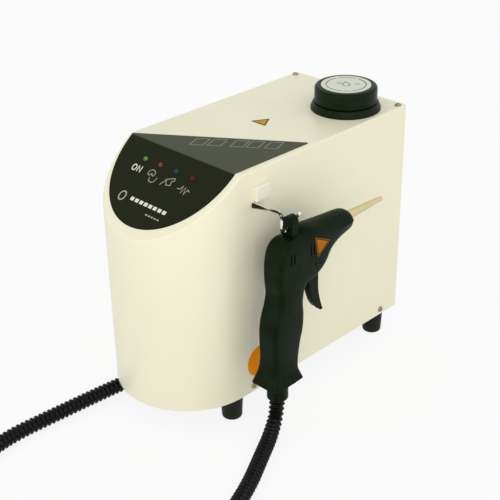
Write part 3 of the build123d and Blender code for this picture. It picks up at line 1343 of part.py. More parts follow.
spring_length = SPRING_SEAT[1] - SPRING_POST_R / 2 - ARM_TOP[1]
coil_height = spring_length - 2 * SPRING_WIRE_R
with BuildPart() as trigger_spring:
    with BuildLine() as coil:
        Helix(coil_height / SPRING_COILS, coil_height, SPRING_R,
              center=GUN.from_local_coords((SPRING_SEAT[0], ARM_TOP[1] + SPRING_WIRE_R)))
    with BuildSketch(Plane(origin=coil.line @ 0, z_dir=coil.line % 0)):
        Circle(SPRING_WIRE_R)
    sweep(is_frenet=True)
keep(trigger_spring, "trigger_spring")

with BuildPart() as gun_switch:
    with BuildSketch(GUN):
        with Locations(((SWITCH_BOX[0] + SWITCH_BOX[1]) / 2, (SWITCH_BOX[2] + SWITCH_BOX[3]) / 2)):
            Rectangle(SWITCH_BOX[1] - SWITCH_BOX[0], SWITCH_BOX[3] - SWITCH_BOX[2])
    extrude(amount=SWITCH_T / 2, both=True)
    with BuildSketch(flat_in_gun(SWITCH_BOX[2], PIVOT[0] - SWITCH_REACH)):
        Circle(PLUNGER_R + PIVOT_GAP)
    extrude(amount=PLUNGER_ROOM, mode=Mode.SUBTRACT)
keep(gun_switch, "gun_switch")

plunger_foot = ARM_TOP[1] + FIT_GAP
with BuildPart() as switch_plunger:
    with BuildSketch(flat_in_gun(plunger_foot, PIVOT[0] - SWITCH_REACH)):
        Circle(PLUNGER_R)
    extrude(amount=SWITCH_BOX[2] + PLUNGER_SEAT - plunger_foot)
keep(switch_plunger, "switch_plunger")

# Sticker on the side of the gun
with BuildPart() as gun_mark:
    with BuildSketch(GUN.offset(GUN_T / 2)):
        with BuildLine():
            Polyline(*GUN_MARK, close=True)
        make_face()
    extrude(amount=STICKER_T)
keep(gun_mark, "gun_mark")


def bend_radii(points):
    """A bend radius for each inner point, from the shorter run beside it and the turn made there."""
    radii = []
    for before, corner, after in zip(points, points[1:], points[2:]):
        shorter = min((corner - before).length, (after - corner).length)
        half_turn = math.radians((corner - before).get_angle(after - corner)) / 2
        radii.append(BEND_SHARE * shorter / math.tan(half_turn))
    return radii


def ribbed_hose(points, seam, label):
    """A ribbed tube along the points, its rings turned so that their seam faces one way."""
    with BuildLine() as run:
        FilletPolyline(*points, radius=bend_radii(points))
    path = run.wire()
    ribs = round((path.length - 2 * HOSE_END) / RIB_PITCH)
    pitch = (path.length - 2 * HOSE_END) / ribs
    stations = [(0.0, HOSE_R)]
    for rib in range(ribs):
        for share, valley in RIB_PROFILE:
            stations.append((HOSE_END + (rib + share) * pitch, HOSE_R - valley * RIB_VALLEY))
    stations.append((path.length - HOSE_END, HOSE_R))
    stations.append((path.length, HOSE_R))
    with BuildPart() as hose:
        for along, radius in stations:
            share = along / path.length
            with BuildSketch(Plane(origin=path @ share, x_dir=seam, z_dir=path % share)):
                Circle(radius)
        loft(ruled=True)
        with BuildSketch(Plane(origin=path @ 0, x_dir=seam, z_dir=path % 0)):
            Circle(HOSE_BORE_R)
        sweep(path=path, mode=Mode.SUBTRACT)
    keep(hose, label)
    radii = [round(radius, 1) for radius in bend_radii(points)]
    plain = math.pi * (HOSE_R ** 2 - HOSE_BORE_R ** 2) * path.length
    print(label, "ribs", ribs, "length", round(path.length, 1), "radii", radii,
          "volume", round(hose.part.volume), "plain tube", round(plain))


# Steam hose: up into the gun, and over the floor to the outlet under the tray
hose_spots = [place(x, y, z) for x, y, z in HOSE_SPOTS]
inner, outer = hose_spots[HOSE_JOIN], hose_spots[HOSE_JOIN + 1]
join = (inner + outer) / 2
rise_seam = Vector(inner.Y - outer.Y, outer.X - inner.X)
ribbed_hose(hose_spots[:HOSE_JOIN + 1] + [join], rise_seam, "hose_rise")
ribbed_hose([join] + hose_spots[HOSE_JOIN + 1:], Vector(0, 0, 1), "hose_floor")
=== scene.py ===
"""A round-nosed steam generator with its steam gun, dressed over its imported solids.

Every length below is in millimetres and every place is given as x from the machine's
middle line, y from the tip of its nose and z from the floor, unless a docstring says
otherwise. A finish's own lengths, and the row frame that the meshes end in, are in metres.
"""
import logging
import math
from collections.abc import Callable
from dataclasses import dataclass
from enum import Enum

import bpy
import numpy as np
from mathutils import Matrix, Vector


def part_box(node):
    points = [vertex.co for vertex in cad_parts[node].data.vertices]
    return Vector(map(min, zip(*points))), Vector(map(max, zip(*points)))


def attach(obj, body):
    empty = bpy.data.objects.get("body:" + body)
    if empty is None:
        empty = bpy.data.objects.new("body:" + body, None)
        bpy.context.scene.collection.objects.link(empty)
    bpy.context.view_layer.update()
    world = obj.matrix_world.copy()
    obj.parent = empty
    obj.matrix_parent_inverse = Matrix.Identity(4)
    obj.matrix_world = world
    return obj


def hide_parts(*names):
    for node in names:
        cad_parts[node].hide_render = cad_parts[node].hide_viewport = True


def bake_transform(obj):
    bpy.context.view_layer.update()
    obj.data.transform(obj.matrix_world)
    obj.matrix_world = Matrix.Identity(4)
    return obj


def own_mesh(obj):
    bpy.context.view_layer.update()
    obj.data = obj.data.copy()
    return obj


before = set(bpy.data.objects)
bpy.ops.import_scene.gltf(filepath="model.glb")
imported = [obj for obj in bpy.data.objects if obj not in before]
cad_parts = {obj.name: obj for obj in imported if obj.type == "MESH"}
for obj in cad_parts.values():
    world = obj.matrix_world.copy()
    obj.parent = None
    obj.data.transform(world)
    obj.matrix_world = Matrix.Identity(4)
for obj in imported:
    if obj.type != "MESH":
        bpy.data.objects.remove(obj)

LOG = logging.getLogger("steam_generator")
MM = 0.001
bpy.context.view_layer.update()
COVER_LOW, COVER_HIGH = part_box("casing_cover")
MIDDLE = (COVER_LOW[0] + COVER_HIGH[0]) / 2
NOSE = COVER_LOW[1]

Points = np.ndarray
Colour = tuple[float, float, float]
Triple = tuple[float, float, float]
Pairs = tuple[tuple[float, float], ...]


def placed(points: Points) -> Points:
    """Takes points in millimetres from the middle line, nose and floor to the row frame.

    Args:
        points: an array whose last axis is x, y, z.

    Returns:
        The same points in metres.
    """
    return np.asarray(points, float) * MM + np.array([MIDDLE, NOSE, 0.0])


# ---- shader maths ----


class Signal:
    """A number that varies over a surface: one output socket, with Python's operators on it."""

    def __init__(self, board: "Board", socket: bpy.types.NodeSocket) -> None:
        """Wraps a socket of a board."""
        self.board, self.socket = board, socket

    def _maths(self, operation: str, *values: "Signal | float") -> "Signal":
        """Adds a Math node for one operation and wraps its output."""
        node = self.board.node("ShaderNodeMath", {"operation": operation}, dict(enumerate(values)))
        return Signal(self.board, node.outputs[0])

    def __add__(self, other: "Signal | float") -> "Signal":
        """This plus another."""
        return self._maths("ADD", self, other)

    __radd__ = __add__

    def __mul__(self, other: "Signal | float") -> "Signal":
        """This times another."""
        return self._maths("MULTIPLY", self, other)

    def sine(self) -> "Signal":
        """Its sine, in radians."""
        return self._maths("SINE", self)

    def above(self, limit: float) -> "Signal":
        """1 where it is more than the limit, else 0."""
        return self._maths("GREATER_THAN", self, limit)

    def step(self, low: float, high: float) -> "Signal":
        """0 below low and 1 above high, with a smooth rise between them."""
        node = self.board.node("ShaderNodeMapRange", {"interpolation_type": "SMOOTHSTEP"},
                               {0: self.socket, 1: low, 2: high, 3: 0.0, 4: 1.0})
        return Signal(self.board, node.outputs[0])


class Board:
    """The node tree of one material, with short ways to add to it."""

    def __init__(self, name: str) -> None:
        """Starts a material with a bare Principled shader."""
        self.material = bpy.data.materials.new(name)
        self.material.use_nodes = True
        self.tree = self.material.node_tree
        self.shader = next(node for node in self.tree.nodes if node.type == "BSDF_PRINCIPLED")
        self.output = next(node for node in self.tree.nodes if node.type == "OUTPUT_MATERIAL")

    def feed(self, socket: bpy.types.NodeSocket, value: object) -> None:
        """Links a signal or a socket to an input, or sets a number, a vector or a colour on it."""
        value = getattr(value, "socket", value)
        if isinstance(value, bpy.types.NodeSocket):
            self.tree.links.new(value, socket)
        else:
            socket.default_value = (*value, 1.0) if socket.type == "RGBA" else value

    def node(self, kind: str, settings: dict | None = None,
             inputs: dict | None = None) -> bpy.types.ShaderNode:
        """Adds any node.

        Args:
            kind: the node's type name.
            settings: attributes that are set first.
            inputs: socket names or numbers, each with a value or a socket to link from.

        Returns:
            The new node.
        """
        made = self.tree.nodes.new(kind)
        for key, value in (settings or {}).items():
            setattr(made, key, value)
        for key, value in (inputs or {}).items():
            self.feed(made.inputs[key], value)
        return made

    def place(self) -> bpy.types.NodeSocket:
        """The surface point's place in the row frame, in metres."""
        return self.node("ShaderNodeTexCoord").outputs["Object"]

    def axes(self) -> tuple[Signal, Signal, Signal]:
        """The same place as three signals."""
        parts = self.node("ShaderNodeSeparateXYZ", None, {0: self.place()})
        return tuple(Signal(self, parts.outputs[index]) for index in range(3))

    def noise(self, scale: float, detail: float = 3.0, rough: float = 0.5,
              stretch: Triple | None = None) -> Signal:
        """Smooth noise between 0 and 1.

        Args:
            scale: how many blotches there are in a metre.
            detail: how many finer layers are added.
            rough: how strong these are.
            stretch: a factor for each axis, for brushed or drawn surfaces.

        Returns:
            The noise as a signal.
        """
        where = self.place()
        if stretch is not None:
            where = self.node("ShaderNodeMapping", None, {"Vector": where, "Scale": stretch}).outputs[0]
        made = self.node("ShaderNodeTexNoise", None,
                         {"Vector": where, "Scale": scale, "Detail": detail, "Roughness": rough})
        return Signal(self, made.outputs[0])

    def blend(self, share: Signal | float, first: Colour | bpy.types.NodeSocket,
              second: Colour | bpy.types.NodeSocket) -> bpy.types.NodeSocket:
        """A colour between two others, by share."""
        return self.node("ShaderNodeMix", {"data_type": "RGBA"}, {0: share, 6: first, 7: second}).outputs[2]

    def dress(self, colour: Colour | bpy.types.NodeSocket, roughness: Signal | float, metallic: float = 0.0,
              height: Signal | None = None, depth: float = 0.0, **fixed: float) -> bpy.types.Material:
        """Sets the Principled shader.

        Args:
            colour: the base colour.
            roughness: a number or a signal.
            metallic: 0 or 1.
            height: what a Bump node reads, if anything.
            depth: the bump's depth in metres.
            fixed: other sockets, with plain numbers.

        Returns:
            The finished material.
        """
        values = {"Base Color": colour, "Roughness": roughness, "Metallic": metallic}
        values.update({name.replace("_", " "): value for name, value in fixed.items()})
        if height is not None:
            bump = self.node("ShaderNodeBump", None, {"Height": height, "Distance": depth, "Strength": 1.0})
            values["Normal"] = bump.outputs[0]
        for name, value in values.items():
            self.feed(self.shader.inputs[name], value)
        return self.material


# ---- finishes ----


@dataclass(frozen=True)
class Finish:
    """What every two-toned finish has: its name, its colour and the shade that this drifts to."""

    name: str
    colour: Colour
    shade: Colour


@dataclass(frozen=True)
class Paint(Finish):
    """Sprayed enamel on sheet: a warm even colour, a faint orange peel and a slight cloudiness."""

    roughness: float = 0.36
    peel: float = 0.00006

    def material(self) -> bpy.types.Material:
        """The enamel's material."""
        board = Board(self.name)
        cloud = board.noise(9.0, 4.0, 0.55).step(0.3, 0.75)
        fleck = board.noise(900.0, 2.0)
        colour = board.blend(cloud * 0.55 + fleck * 0.12, self.colour, self.shade)
        rough = board.noise(35.0, 3.0) * 0.10 + (self.roughness - 0.05)
        return board.dress(colour, rough, height=board.noise(420.0, 2.5), depth=self.peel, IOR=1.48)


@dataclass(frozen=True)
class Moulding(Finish):
    """Moulded plastic or rubber: fine spark-eroded grain, and a sheen that varies where hands rub it."""

    roughness: float
    grain: float = 1400.0
    depth: float = 0.00004
    gloss: float = 0.5

    def material(self) -> bpy.types.Material:
        """The moulding's material."""
        board = Board(self.name)
        rub = board.noise(55.0, 4.0, 0.6)
        colour = board.blend(rub.step(0.35, 0.75), self.colour, self.shade)
        rough = rub * 0.16 + (self.roughness - 0.08)
        return board.dress(colour, rough, height=board.noise(self.grain, 3.0, 0.6), depth=self.depth,
                           Specular_IOR_Level=self.gloss)


@dataclass(frozen=True)
class Metal(Finish):
    """Bare or plated metal, with drawn marks along one axis and a slight tarnish in the shade."""

    roughness: float
    stretch: Triple = (1.0, 1.0, 1.0)
    marks: float = 700.0
    depth: float = 0.00001

    def material(self) -> bpy.types.Material:
        """The metal's material."""
        board = Board(self.name)
        drawn = board.noise(self.marks, 3.0, 0.6, self.stretch)
        dull = board.noise(40.0, 4.0, 0.6)
        colour = board.blend(dull.step(0.4, 0.85) * 0.7, self.colour, self.shade)
        rough = drawn * 0.12 + dull * 0.10 + (self.roughness - 0.11)
        return board.dress(colour, rough, 1.0, height=drawn, depth=self.depth)


@dataclass(frozen=True)
class Plating(Finish):
    """Bright plating with painted reflections: light and dark streaks that run along the rod's first stretch.
    """

    def material(self) -> bpy.types.Material:
        """The plating's material."""
        board = Board(self.name)
        # Painted reflection: noise streaks blend the bright colour with a near-black one, standing in for
        # dark surroundings mirrored in the rod.
        painted_reflection = board.noise(60.0, 2.0, 0.4, (0.25, 4.0, 1.9))
        colour = board.blend(painted_reflection.step(0.46, 0.55), self.colour, self.shade)
        return board.dress(colour, painted_reflection * 0.06 + 0.09, 1.0)


@dataclass(frozen=True)
class Fibre(Finish):
    """Pressed mineral fibre: matt, with a coarse felted surface."""

    def material(self) -> bpy.types.Material:
        """The fibre's material."""
        board = Board(self.name)
        felt = board.noise(260.0, 6.0, 0.7)
        return board.dress(board.blend(felt, self.colour, self.shade), 0.92, height=felt, depth=0.0006)


@dataclass(frozen=True)
class Circuit:
    """A circuit board: green lacquer over copper tracks that run as fine squared lines."""

    name: str
    lacquer: Colour = (0.015, 0.11, 0.04)
    track: Colour = (0.05, 0.22, 0.08)

    def material(self) -> bpy.types.Material:
        """The board's material."""
        board = Board(self.name)
        along, across = board.axes()[:2]
        tracks = ((along * 1900.0).sine() * (across * 1500.0).sine()).step(0.55, 0.7)
        tracks = tracks * board.noise(120.0, 1.0).step(0.45, 0.5)
        colour = board.blend(tracks, self.lacquer, self.track)
        return board.dress(colour, 0.35, height=tracks, depth=0.00003)


@dataclass(frozen=True)
class Film:
    """The printed panel film: near black, with a painted sheen that makes it a little lighter where it lies
    flat on the top.
    """

    name: str
    face: Colour = (0.0095, 0.0120, 0.0030)
    # The top colour is a painted sheen: the flat part is lighter only because of how light falls on it.
    top: Colour = (0.064, 0.074, 0.042)
    speck: Colour = (0.085, 0.08, 0.065)
    bend_z: float = 0.3115
    fade: float = 0.0006

    def material(self) -> bpy.types.Material:
        """The film's material."""
        board = Board(self.name)
        up = board.axes()[2]
        grain = board.noise(1100.0, 3.0, 0.6)
        # Painted sheen: above the bend the colour steps to the lighter top colour.
        colour = board.blend(up.step(self.bend_z, self.bend_z + self.fade), self.face, self.top)
        colour = board.blend(grain * 0.06, colour, self.speck)
        return board.dress(colour, grain * 0.08 + 0.42, height=grain, depth=0.00003,
                           Specular_IOR_Level=0.06)


@dataclass(frozen=True)
class Lamp(Finish):
    """An unlit tinted lamp lens."""

    def material(self) -> bpy.types.Material:
        """The lens's material."""
        board = Board(self.name)
        depth = board.noise(260.0, 2.0)
        colour = board.blend(depth.step(0.35, 0.65), self.colour, self.shade)
        return board.dress(colour, depth * 0.06 + 0.14, Specular_IOR_Level=0.12)


@dataclass(frozen=True)
class Label(Finish):
    """A plain vinyl label with a faintly mottled ink."""

    roughness: float = 0.42
    gloss: float = 0.2

    def material(self) -> bpy.types.Material:
        """The label's material."""
        board = Board(self.name)
        ink = board.noise(320.0, 4.0, 0.6)
        colour = board.blend(ink * 0.6, self.colour, self.shade)
        return board.dress(colour, ink * 0.1 + (self.roughness - 0.05), height=ink, depth=0.00001,
                           Specular_IOR_Level=self.gloss)


class Make(Enum):
    """The finishes of the machine's pieces."""

    CASING = Paint("cream enamel", (0.855, 0.815, 0.635), (0.825, 0.780, 0.585))
    REAR = Paint("cream enamel, rear", (0.840, 0.800, 0.620), (0.80, 0.76, 0.57), 0.42)
    ZINC = Metal("zinc-plated sheet", (0.60, 0.61, 0.62), (0.42, 0.43, 0.44), 0.38, (1.0, 12.0, 1.0), 160.0)
    SCREW = Metal("screw plating", (0.34, 0.305, 0.215), (0.12, 0.105, 0.065), 0.30, depth=0.00002)
    FILM = Film("panel film")
    GREEN_LAMP = Lamp("green lens", (0.125, 0.275, 0.022), (0.05, 0.13, 0.010))
    RED_LAMP = Lamp("red lens", (0.34, 0.050, 0.010), (0.16, 0.020, 0.006))
    BLUE_LAMP = Lamp("blue lens", (0.004, 0.080, 0.110), (0.003, 0.04, 0.055))
    DARK_LAMP = Lamp("dark red lens", (0.115, 0.008, 0.004), (0.05, 0.004, 0.003))
    CIRCUIT = Circuit("circuit board")
    ORANGE = Label("orange label", (1.0, 0.315, 0.002), (0.98, 0.29, 0.002), gloss=0.03)
    AMBER = Label("amber label", (0.41, 0.132, 0.003), (0.34, 0.10, 0.003), gloss=0.06)
    GOLD = Label("gold label", (0.53, 0.305, 0.003), (0.46, 0.255, 0.003), gloss=0.06)
    GUN = Moulding("gun moulding", (0.0018, 0.0072, 0.0010), (0.0042, 0.0120, 0.0026),
                   0.36, 1500.0, 0.000035, 0.07)
    BLACK = Moulding("black moulding", (0.0055, 0.0080, 0.0040), (0.010, 0.0140, 0.0075),
                     0.40, 1300.0, 0.00004, 0.16)
    CAP = Moulding("cap moulding", (0.0030, 0.0095, 0.0020), (0.0065, 0.0150, 0.0045),
                   0.38, 1500.0, 0.00005, 0.10)
    RUBBER = Moulding("black rubber", (0.0080, 0.0100, 0.0055), (0.014, 0.017, 0.010),
                      0.50, 700.0, 0.00008, 0.12)
    HOSE = Moulding("hose moulding", (0.0012, 0.0018, 0.0009), (0.0026, 0.0032, 0.0018),
                    0.13, 500.0, 0.00001, 0.13)
    CREAM = Moulding("cream moulding", (0.860, 0.830, 0.665), (0.84, 0.80, 0.62), 0.42, 900.0, 0.00003)
    MILKY = Moulding("milky tank plastic", (0.74, 0.75, 0.70), (0.66, 0.67, 0.61), 0.45, 500.0, 0.00006)
    STEEL = Metal("stainless steel", (0.56, 0.56, 0.54), (0.40, 0.40, 0.38), 0.30, (1.0, 1.0, 14.0), 150.0)
    BRASS = Metal("machined brass", (0.66, 0.46, 0.18), (0.42, 0.28, 0.11), 0.32, (1.0, 1.0, 9.0), 260.0)
    COPPER = Metal("copper pipe", (0.72, 0.36, 0.22), (0.40, 0.20, 0.12), 0.30, (1.0, 1.0, 6.0), 220.0)
    # The chrome's near-black second colour is a painted reflection, laid in streaks along the hook.
    CHROME = Plating("chrome plating", (0.84, 0.81, 0.74), (0.035, 0.030, 0.022))
    NOZZLE = Metal("nozzle plating", (0.67, 0.58, 0.34), (0.56, 0.47, 0.25), 0.42, (14.0, 1.0, 14.0), 120.0)
    FIBRE = Fibre("pressed fibre", (0.62, 0.59, 0.51), (0.44, 0.41, 0.34))
    DISC = Label("cap disc", (0.70, 0.72, 0.63), (0.63, 0.65, 0.55), 0.40)
    PRINT = Label("white print", (0.78, 0.76, 0.68), (0.62, 0.60, 0.52), 0.5)
    FAINT = Label("pale print", (0.40, 0.38, 0.32), (0.30, 0.285, 0.235), 0.5)
    OUTLINE = Label("outline print", (0.30, 0.29, 0.235), (0.22, 0.21, 0.165), 0.5)
    INK = Label("grey ink", (0.16, 0.165, 0.135), (0.24, 0.245, 0.205), 0.5)
    BORDER = Label("brown print", (0.030, 0.016, 0.004), (0.022, 0.012, 0.004), 0.5, 0.05)
    SLOT = Label("slot shadow", (0.003, 0.0032, 0.0026), (0.005, 0.0052, 0.004), 0.8)

    def material(self) -> bpy.types.Material:
        """The finish's material, built once."""
        return bpy.data.materials.get(self.value.name) or self.value.material()


# ---- surfaces ----


def grid_faces(rows: int, columns: int, round_columns: bool = True, round_rows: bool = False) -> Points:
    """Quads of a grid whose vertex (i, j) has the number i * columns + j.

    Args:
        rows: how many rows of vertices there are.
        columns: how many vertices a row has.
        round_columns: whether the last column joins the first.
        round_rows: whether the last row joins the first.

    Returns:
        An array of four vertex numbers a face.
    """
    row = np.arange(rows if round_rows else rows - 1)[:, None]
    column = np.arange(columns if round_columns else columns - 1)[None, :]
    next_row, next_column = (row + 1) % rows, (column + 1) % columns
    corners = (row * columns + column, row * columns + next_column,
               next_row * columns + next_column, next_row * columns + column)
    return np.stack(corners, axis=-1).reshape(-1, 4)


def make_piece(name: str, points: Points, faces: Points | list, make: Make,
               smooth: bool = True) -> bpy.types.Object:
    """Puts points and faces into a mesh object at the origin.

    Args:
        name: the piece's name.
        points: its vertices in the row frame, in metres.
        faces: vertex numbers of each face.
        make: its finish.
        smooth: whether its shading is smooth.

    Returns:
        The new object.
    """
    mesh = bpy.data.meshes.new(name)
    mesh.from_pydata(np.asarray(points, float).reshape(-1, 3).tolist(), [],
                     faces.tolist() if isinstance(faces, np.ndarray) else faces)
    mesh.polygons.foreach_set("use_smooth", np.full(len(mesh.polygons), smooth))
    mesh.materials.append(make.material())
    mesh.update()
    piece = bpy.data.objects.new(name, mesh)
    bpy.context.collection.objects.link(piece)
    return piece


def skin(name: str, rings: Points, make: Make, smooth: bool = True) -> bpy.types.Object:
    """Closes a stack of rings into a solid skin, its ends shut by a fan round their middles.

    Args:
        name: the piece's name.
        rings: an array of rows x columns x 3 in the row frame, in metres.
        make: its finish.
        smooth: whether its shading is smooth.

    Returns:
        The piece, with its faces turned outwards.
    """
    rows, columns = rings.shape[:2]
    points = np.concatenate([rings.reshape(-1, 3), rings[0].mean(0)[None], rings[-1].mean(0)[None]])
    column = np.arange(columns)
    start, end = rows * columns, rows * columns + 1
    quads = grid_faces(rows, columns)
    first = np.stack([np.full(columns, start), (column + 1) % columns, column], 1)
    last = (rows - 1) * columns + np.stack([column, (column + 1) % columns], 1)
    last = np.concatenate([last, np.full((columns, 1), end)], 1)
    middle = points.mean(0)
    a, b, c, d = (points[quads[:, index]] - middle for index in range(4))
    volume = np.einsum("ij,ij->i", a, np.cross(b, c) + np.cross(c, d)).sum()
    faces = quads.tolist() + first.tolist() + last.tolist()
    if volume < 0:
        faces = [face[::-1] for face in faces]
    return make_piece(name, points, faces, make, smooth)


def unit(vectors: Points) -> Points:
    """The vectors at length one."""
    return vectors / np.linalg.norm(vectors, axis=-1, keepdims=True)


def circles(side: Points, up: Points, count: int) -> Points:
    """A ring of count points a row, side cos t + up sin t."""
    angle = (2 * np.pi * np.arange(count) / count)[None, :, None]
    return np.cos(angle) * side[:, None] + np.sin(angle) * up[:, None]


def through(keys: Points, spots: Points) -> Points:
    """A smooth curve through key points, by cubic pieces whose slopes follow their neighbours.

    Args:
        keys: n x k key values at the parameters 0 to n - 1.
        spots: the parameters at which the curve is wanted.

    Returns:
        The curve's values, one row a spot.
    """
    slopes = np.gradient(keys, axis=0)
    index = np.clip(np.floor(spots).astype(int), 0, len(keys) - 2)
    t = (spots - index)[:, None]
    p, q, m, n = keys[index], keys[index + 1], slopes[index], slopes[index + 1]
    return ((2 * t**3 - 3 * t**2 + 1) * p + (t**3 - 2 * t**2 + t) * m
            + (-2 * t**3 + 3 * t**2) * q + (t**3 - t**2) * n)


def strip(line: Points, width: float, low: float, high: float, closed: bool) -> tuple[Points, Points]:
    """A flat raised line: a rectangle carried along a path in a plane, mitred at its corners.

    Args:
        line: n x 2 points of the path, in millimetres.
        width: how wide the line is.
        low: the height of its underside over the plane.
        high: the height of its upper side.
        closed: whether the path comes back to its start.

    Returns:
        Vertices as (x, y, height) in the plane, and faces.
    """
    line = np.asarray(line, float)
    before, after = np.roll(line, 1, 0), np.roll(line, -1, 0)
    if not closed:
        before[0], after[-1] = 2 * line[0] - line[1], 2 * line[-1] - line[-2]
    first, second = unit(line - before), unit(after - line)
    sides = np.stack([-(first + second)[:, 1], (first + second)[:, 0]], 1)
    sides = sides / np.maximum(1 + (first * second).sum(1), 0.35)[:, None]
    left, right = line + sides * width / 2, line - sides * width / 2
    corners = ((right, low), (left, low), (left, high), (right, high))
    rings = np.stack([np.column_stack([side, np.full(len(line), level)]) for side, level in corners], axis=1)
    faces = grid_faces(len(line), 4, True, closed)
    if not closed:
        last = 4 * (len(line) - 1)
        faces = np.concatenate([faces, [[3, 2, 1, 0], [last, last + 1, last + 2, last + 3]]])
    return rings.reshape(-1, 3), faces


def ellipse(x: float, y: float, across: float, up: float, count: int = 28, lean: float = 0.0,
            start: float = 0.0, turn: float = 360.0) -> Points:
    """Points of an ellipse or a piece of one, leaning sideways with height."""
    angle = np.radians(start + np.linspace(0, turn, count, endpoint=turn < 360.0))
    rise = up * np.sin(angle)
    return np.column_stack([x + across * np.cos(angle) + lean * rise, y + rise])


# ---- the view and the light ----


def standing(side: Points, top: Points, back: Points, at: Points) -> Matrix:
    """The place of something whose own x, y and z axes are side, top and back."""
    turned = Matrix.Identity(4)
    for row in range(3):
        turned[row][:3] = side[row], top[row], back[row]
        turned[row][3] = at[row]
    return turned


@dataclass
class Studio:
    """The photograph's viewing angle, a pale floor and soft light.

    The camera's clip, the floor's size and height and the lamps' sizes are in metres, and the
    lamps' powers in watts.
    """

    azimuth: float = 45.0395
    elevation: float = 28.3365
    roll: float = -0.985
    lens: float = 78.38
    sensor: float = 36.0
    clip: tuple[float, float] = (0.05, 30.0)
    eye: Triple = (834.47, -638.81, 786.71)
    aim: Triple = (0.0, 180.0, 150.0)
    floor_size: float = 7.0
    floor_z: float = -0.0002
    floor_tones: tuple[Colour, Colour] = ((0.86, 0.86, 0.85), (0.83, 0.83, 0.82))
    floor_glow: float = 0.85
    white_rays: tuple[str, ...] = ("Is Camera Ray", "Is Glossy Ray", "Is Transmission Ray")
    world_level: float = 0.82
    world_colour: Colour = (0.985, 1.0, 0.98)
    lamps: tuple[tuple[str, Triple, float, float], ...] = (
        ("key", (1350.0, -1000.0, 850.0), 1.2, 8.5),
        ("fill", (-300.0, -1500.0, 380.0), 1.2, 3.1),
        ("side", (1300.0, 900.0, 900.0), 1.0, 1.2),
    )

    def camera(self) -> None:
        """Sets the camera, its back along the azimuth and elevation and turned by the roll."""
        turn, rise, roll = np.radians([self.azimuth, self.elevation, self.roll])
        back = np.array([np.sin(turn) * np.cos(rise), -np.cos(turn) * np.cos(rise), np.sin(rise)])
        right = unit(np.cross(-back, [0.0, 0.0, 1.0]))
        up = np.cross(right, -back)
        side = right * np.cos(roll) + up * np.sin(roll)
        top = up * np.cos(roll) - right * np.sin(roll)
        data = bpy.data.cameras.new("photograph")
        data.sensor_width, data.lens = self.sensor, self.lens
        data.clip_start, data.clip_end = self.clip
        camera = bpy.data.objects.new("photograph", data)
        camera.matrix_world = standing(side, top, back, placed(self.eye))
        bpy.context.collection.objects.link(camera)
        bpy.context.scene.camera = camera

    def floor(self) -> None:
        """Lays a pale floor that is nearly white to the camera and still keeps the object's shadow."""
        board = Board("pale floor")
        board.dress(board.blend(board.noise(3.0, 2.0), *self.floor_tones), 0.9)
        glow = board.node("ShaderNodeEmission", None, {"Color": (1.0, 1.0, 1.0), "Strength": 1.0})
        rays = board.node("ShaderNodeLightPath")
        seen = sum((Signal(board, rays.outputs[ray]) for ray in self.white_rays), 0.0).above(0.5)
        mixed = board.node("ShaderNodeMixShader", None,
                           {0: seen * self.floor_glow, 1: board.shader.outputs[0], 2: glow.outputs[0]})
        board.tree.links.new(mixed.outputs[0], board.output.inputs[0])
        half = self.floor_size / 2
        corners = ((-half, -half), (half, -half), (half, half), (-half, half))
        mesh = bpy.data.meshes.new("floor")
        mesh.from_pydata([(x, y, self.floor_z) for x, y in corners], [], [(0, 1, 2, 3)])
        mesh.materials.append(board.material)
        ground = bpy.data.objects.new("floor", mesh)
        bpy.context.collection.objects.link(ground)

    def light(self) -> None:
        """Lights the object evenly: a pale world, white to the eye, and three broad soft lamps."""
        scene = bpy.context.scene
        scene.view_settings.view_transform = "Standard"
        world = bpy.data.worlds.new("pale room")
        world.use_nodes = True
        scene.world = world
        tree = world.node_tree
        plain = next(node for node in tree.nodes if node.type == "BACKGROUND")
        output = next(node for node in tree.nodes if node.type == "OUTPUT_WORLD")
        plain.inputs["Color"].default_value = (*self.world_colour, 1.0)
        plain.inputs["Strength"].default_value = self.world_level
        white = tree.nodes.new("ShaderNodeBackground")
        white.inputs["Color"].default_value = (1.0, 1.0, 1.0, 1.0)
        white.inputs["Strength"].default_value = 1.0
        rays, mixed = tree.nodes.new("ShaderNodeLightPath"), tree.nodes.new("ShaderNodeMixShader")
        share = rays.outputs[self.white_rays[0]]
        for ray in self.white_rays[1:]:
            most = tree.nodes.new("ShaderNodeMath")
            most.operation = "MAXIMUM"
            tree.links.new(share, most.inputs[0])
            tree.links.new(rays.outputs[ray], most.inputs[1])
            share = most.outputs[0]
        tree.links.new(share, mixed.inputs[0])
        tree.links.new(plain.outputs[0], mixed.inputs[1])
        tree.links.new(white.outputs[0], mixed.inputs[2])
        tree.links.new(mixed.outputs[0], output.inputs[0])
        for name, spot, size, power in self.lamps:
            data = bpy.data.lights.new(name, "AREA")
            data.size, data.energy = size, power
            lamp = bpy.data.objects.new(name, data)
            at = placed(spot)
            back = unit(at - placed(self.aim))
            side = unit(np.cross([0.0, 0.0, 1.0], back))
            lamp.matrix_world = standing(side, np.cross(back, side), back, at)
            bpy.context.collection.objects.link(lamp)

    def build(self) -> None:
        """Makes the whole studio."""
        self.camera()
        self.floor()
        self.light()
        LOG.info("studio ready")


# ---- the hose ----


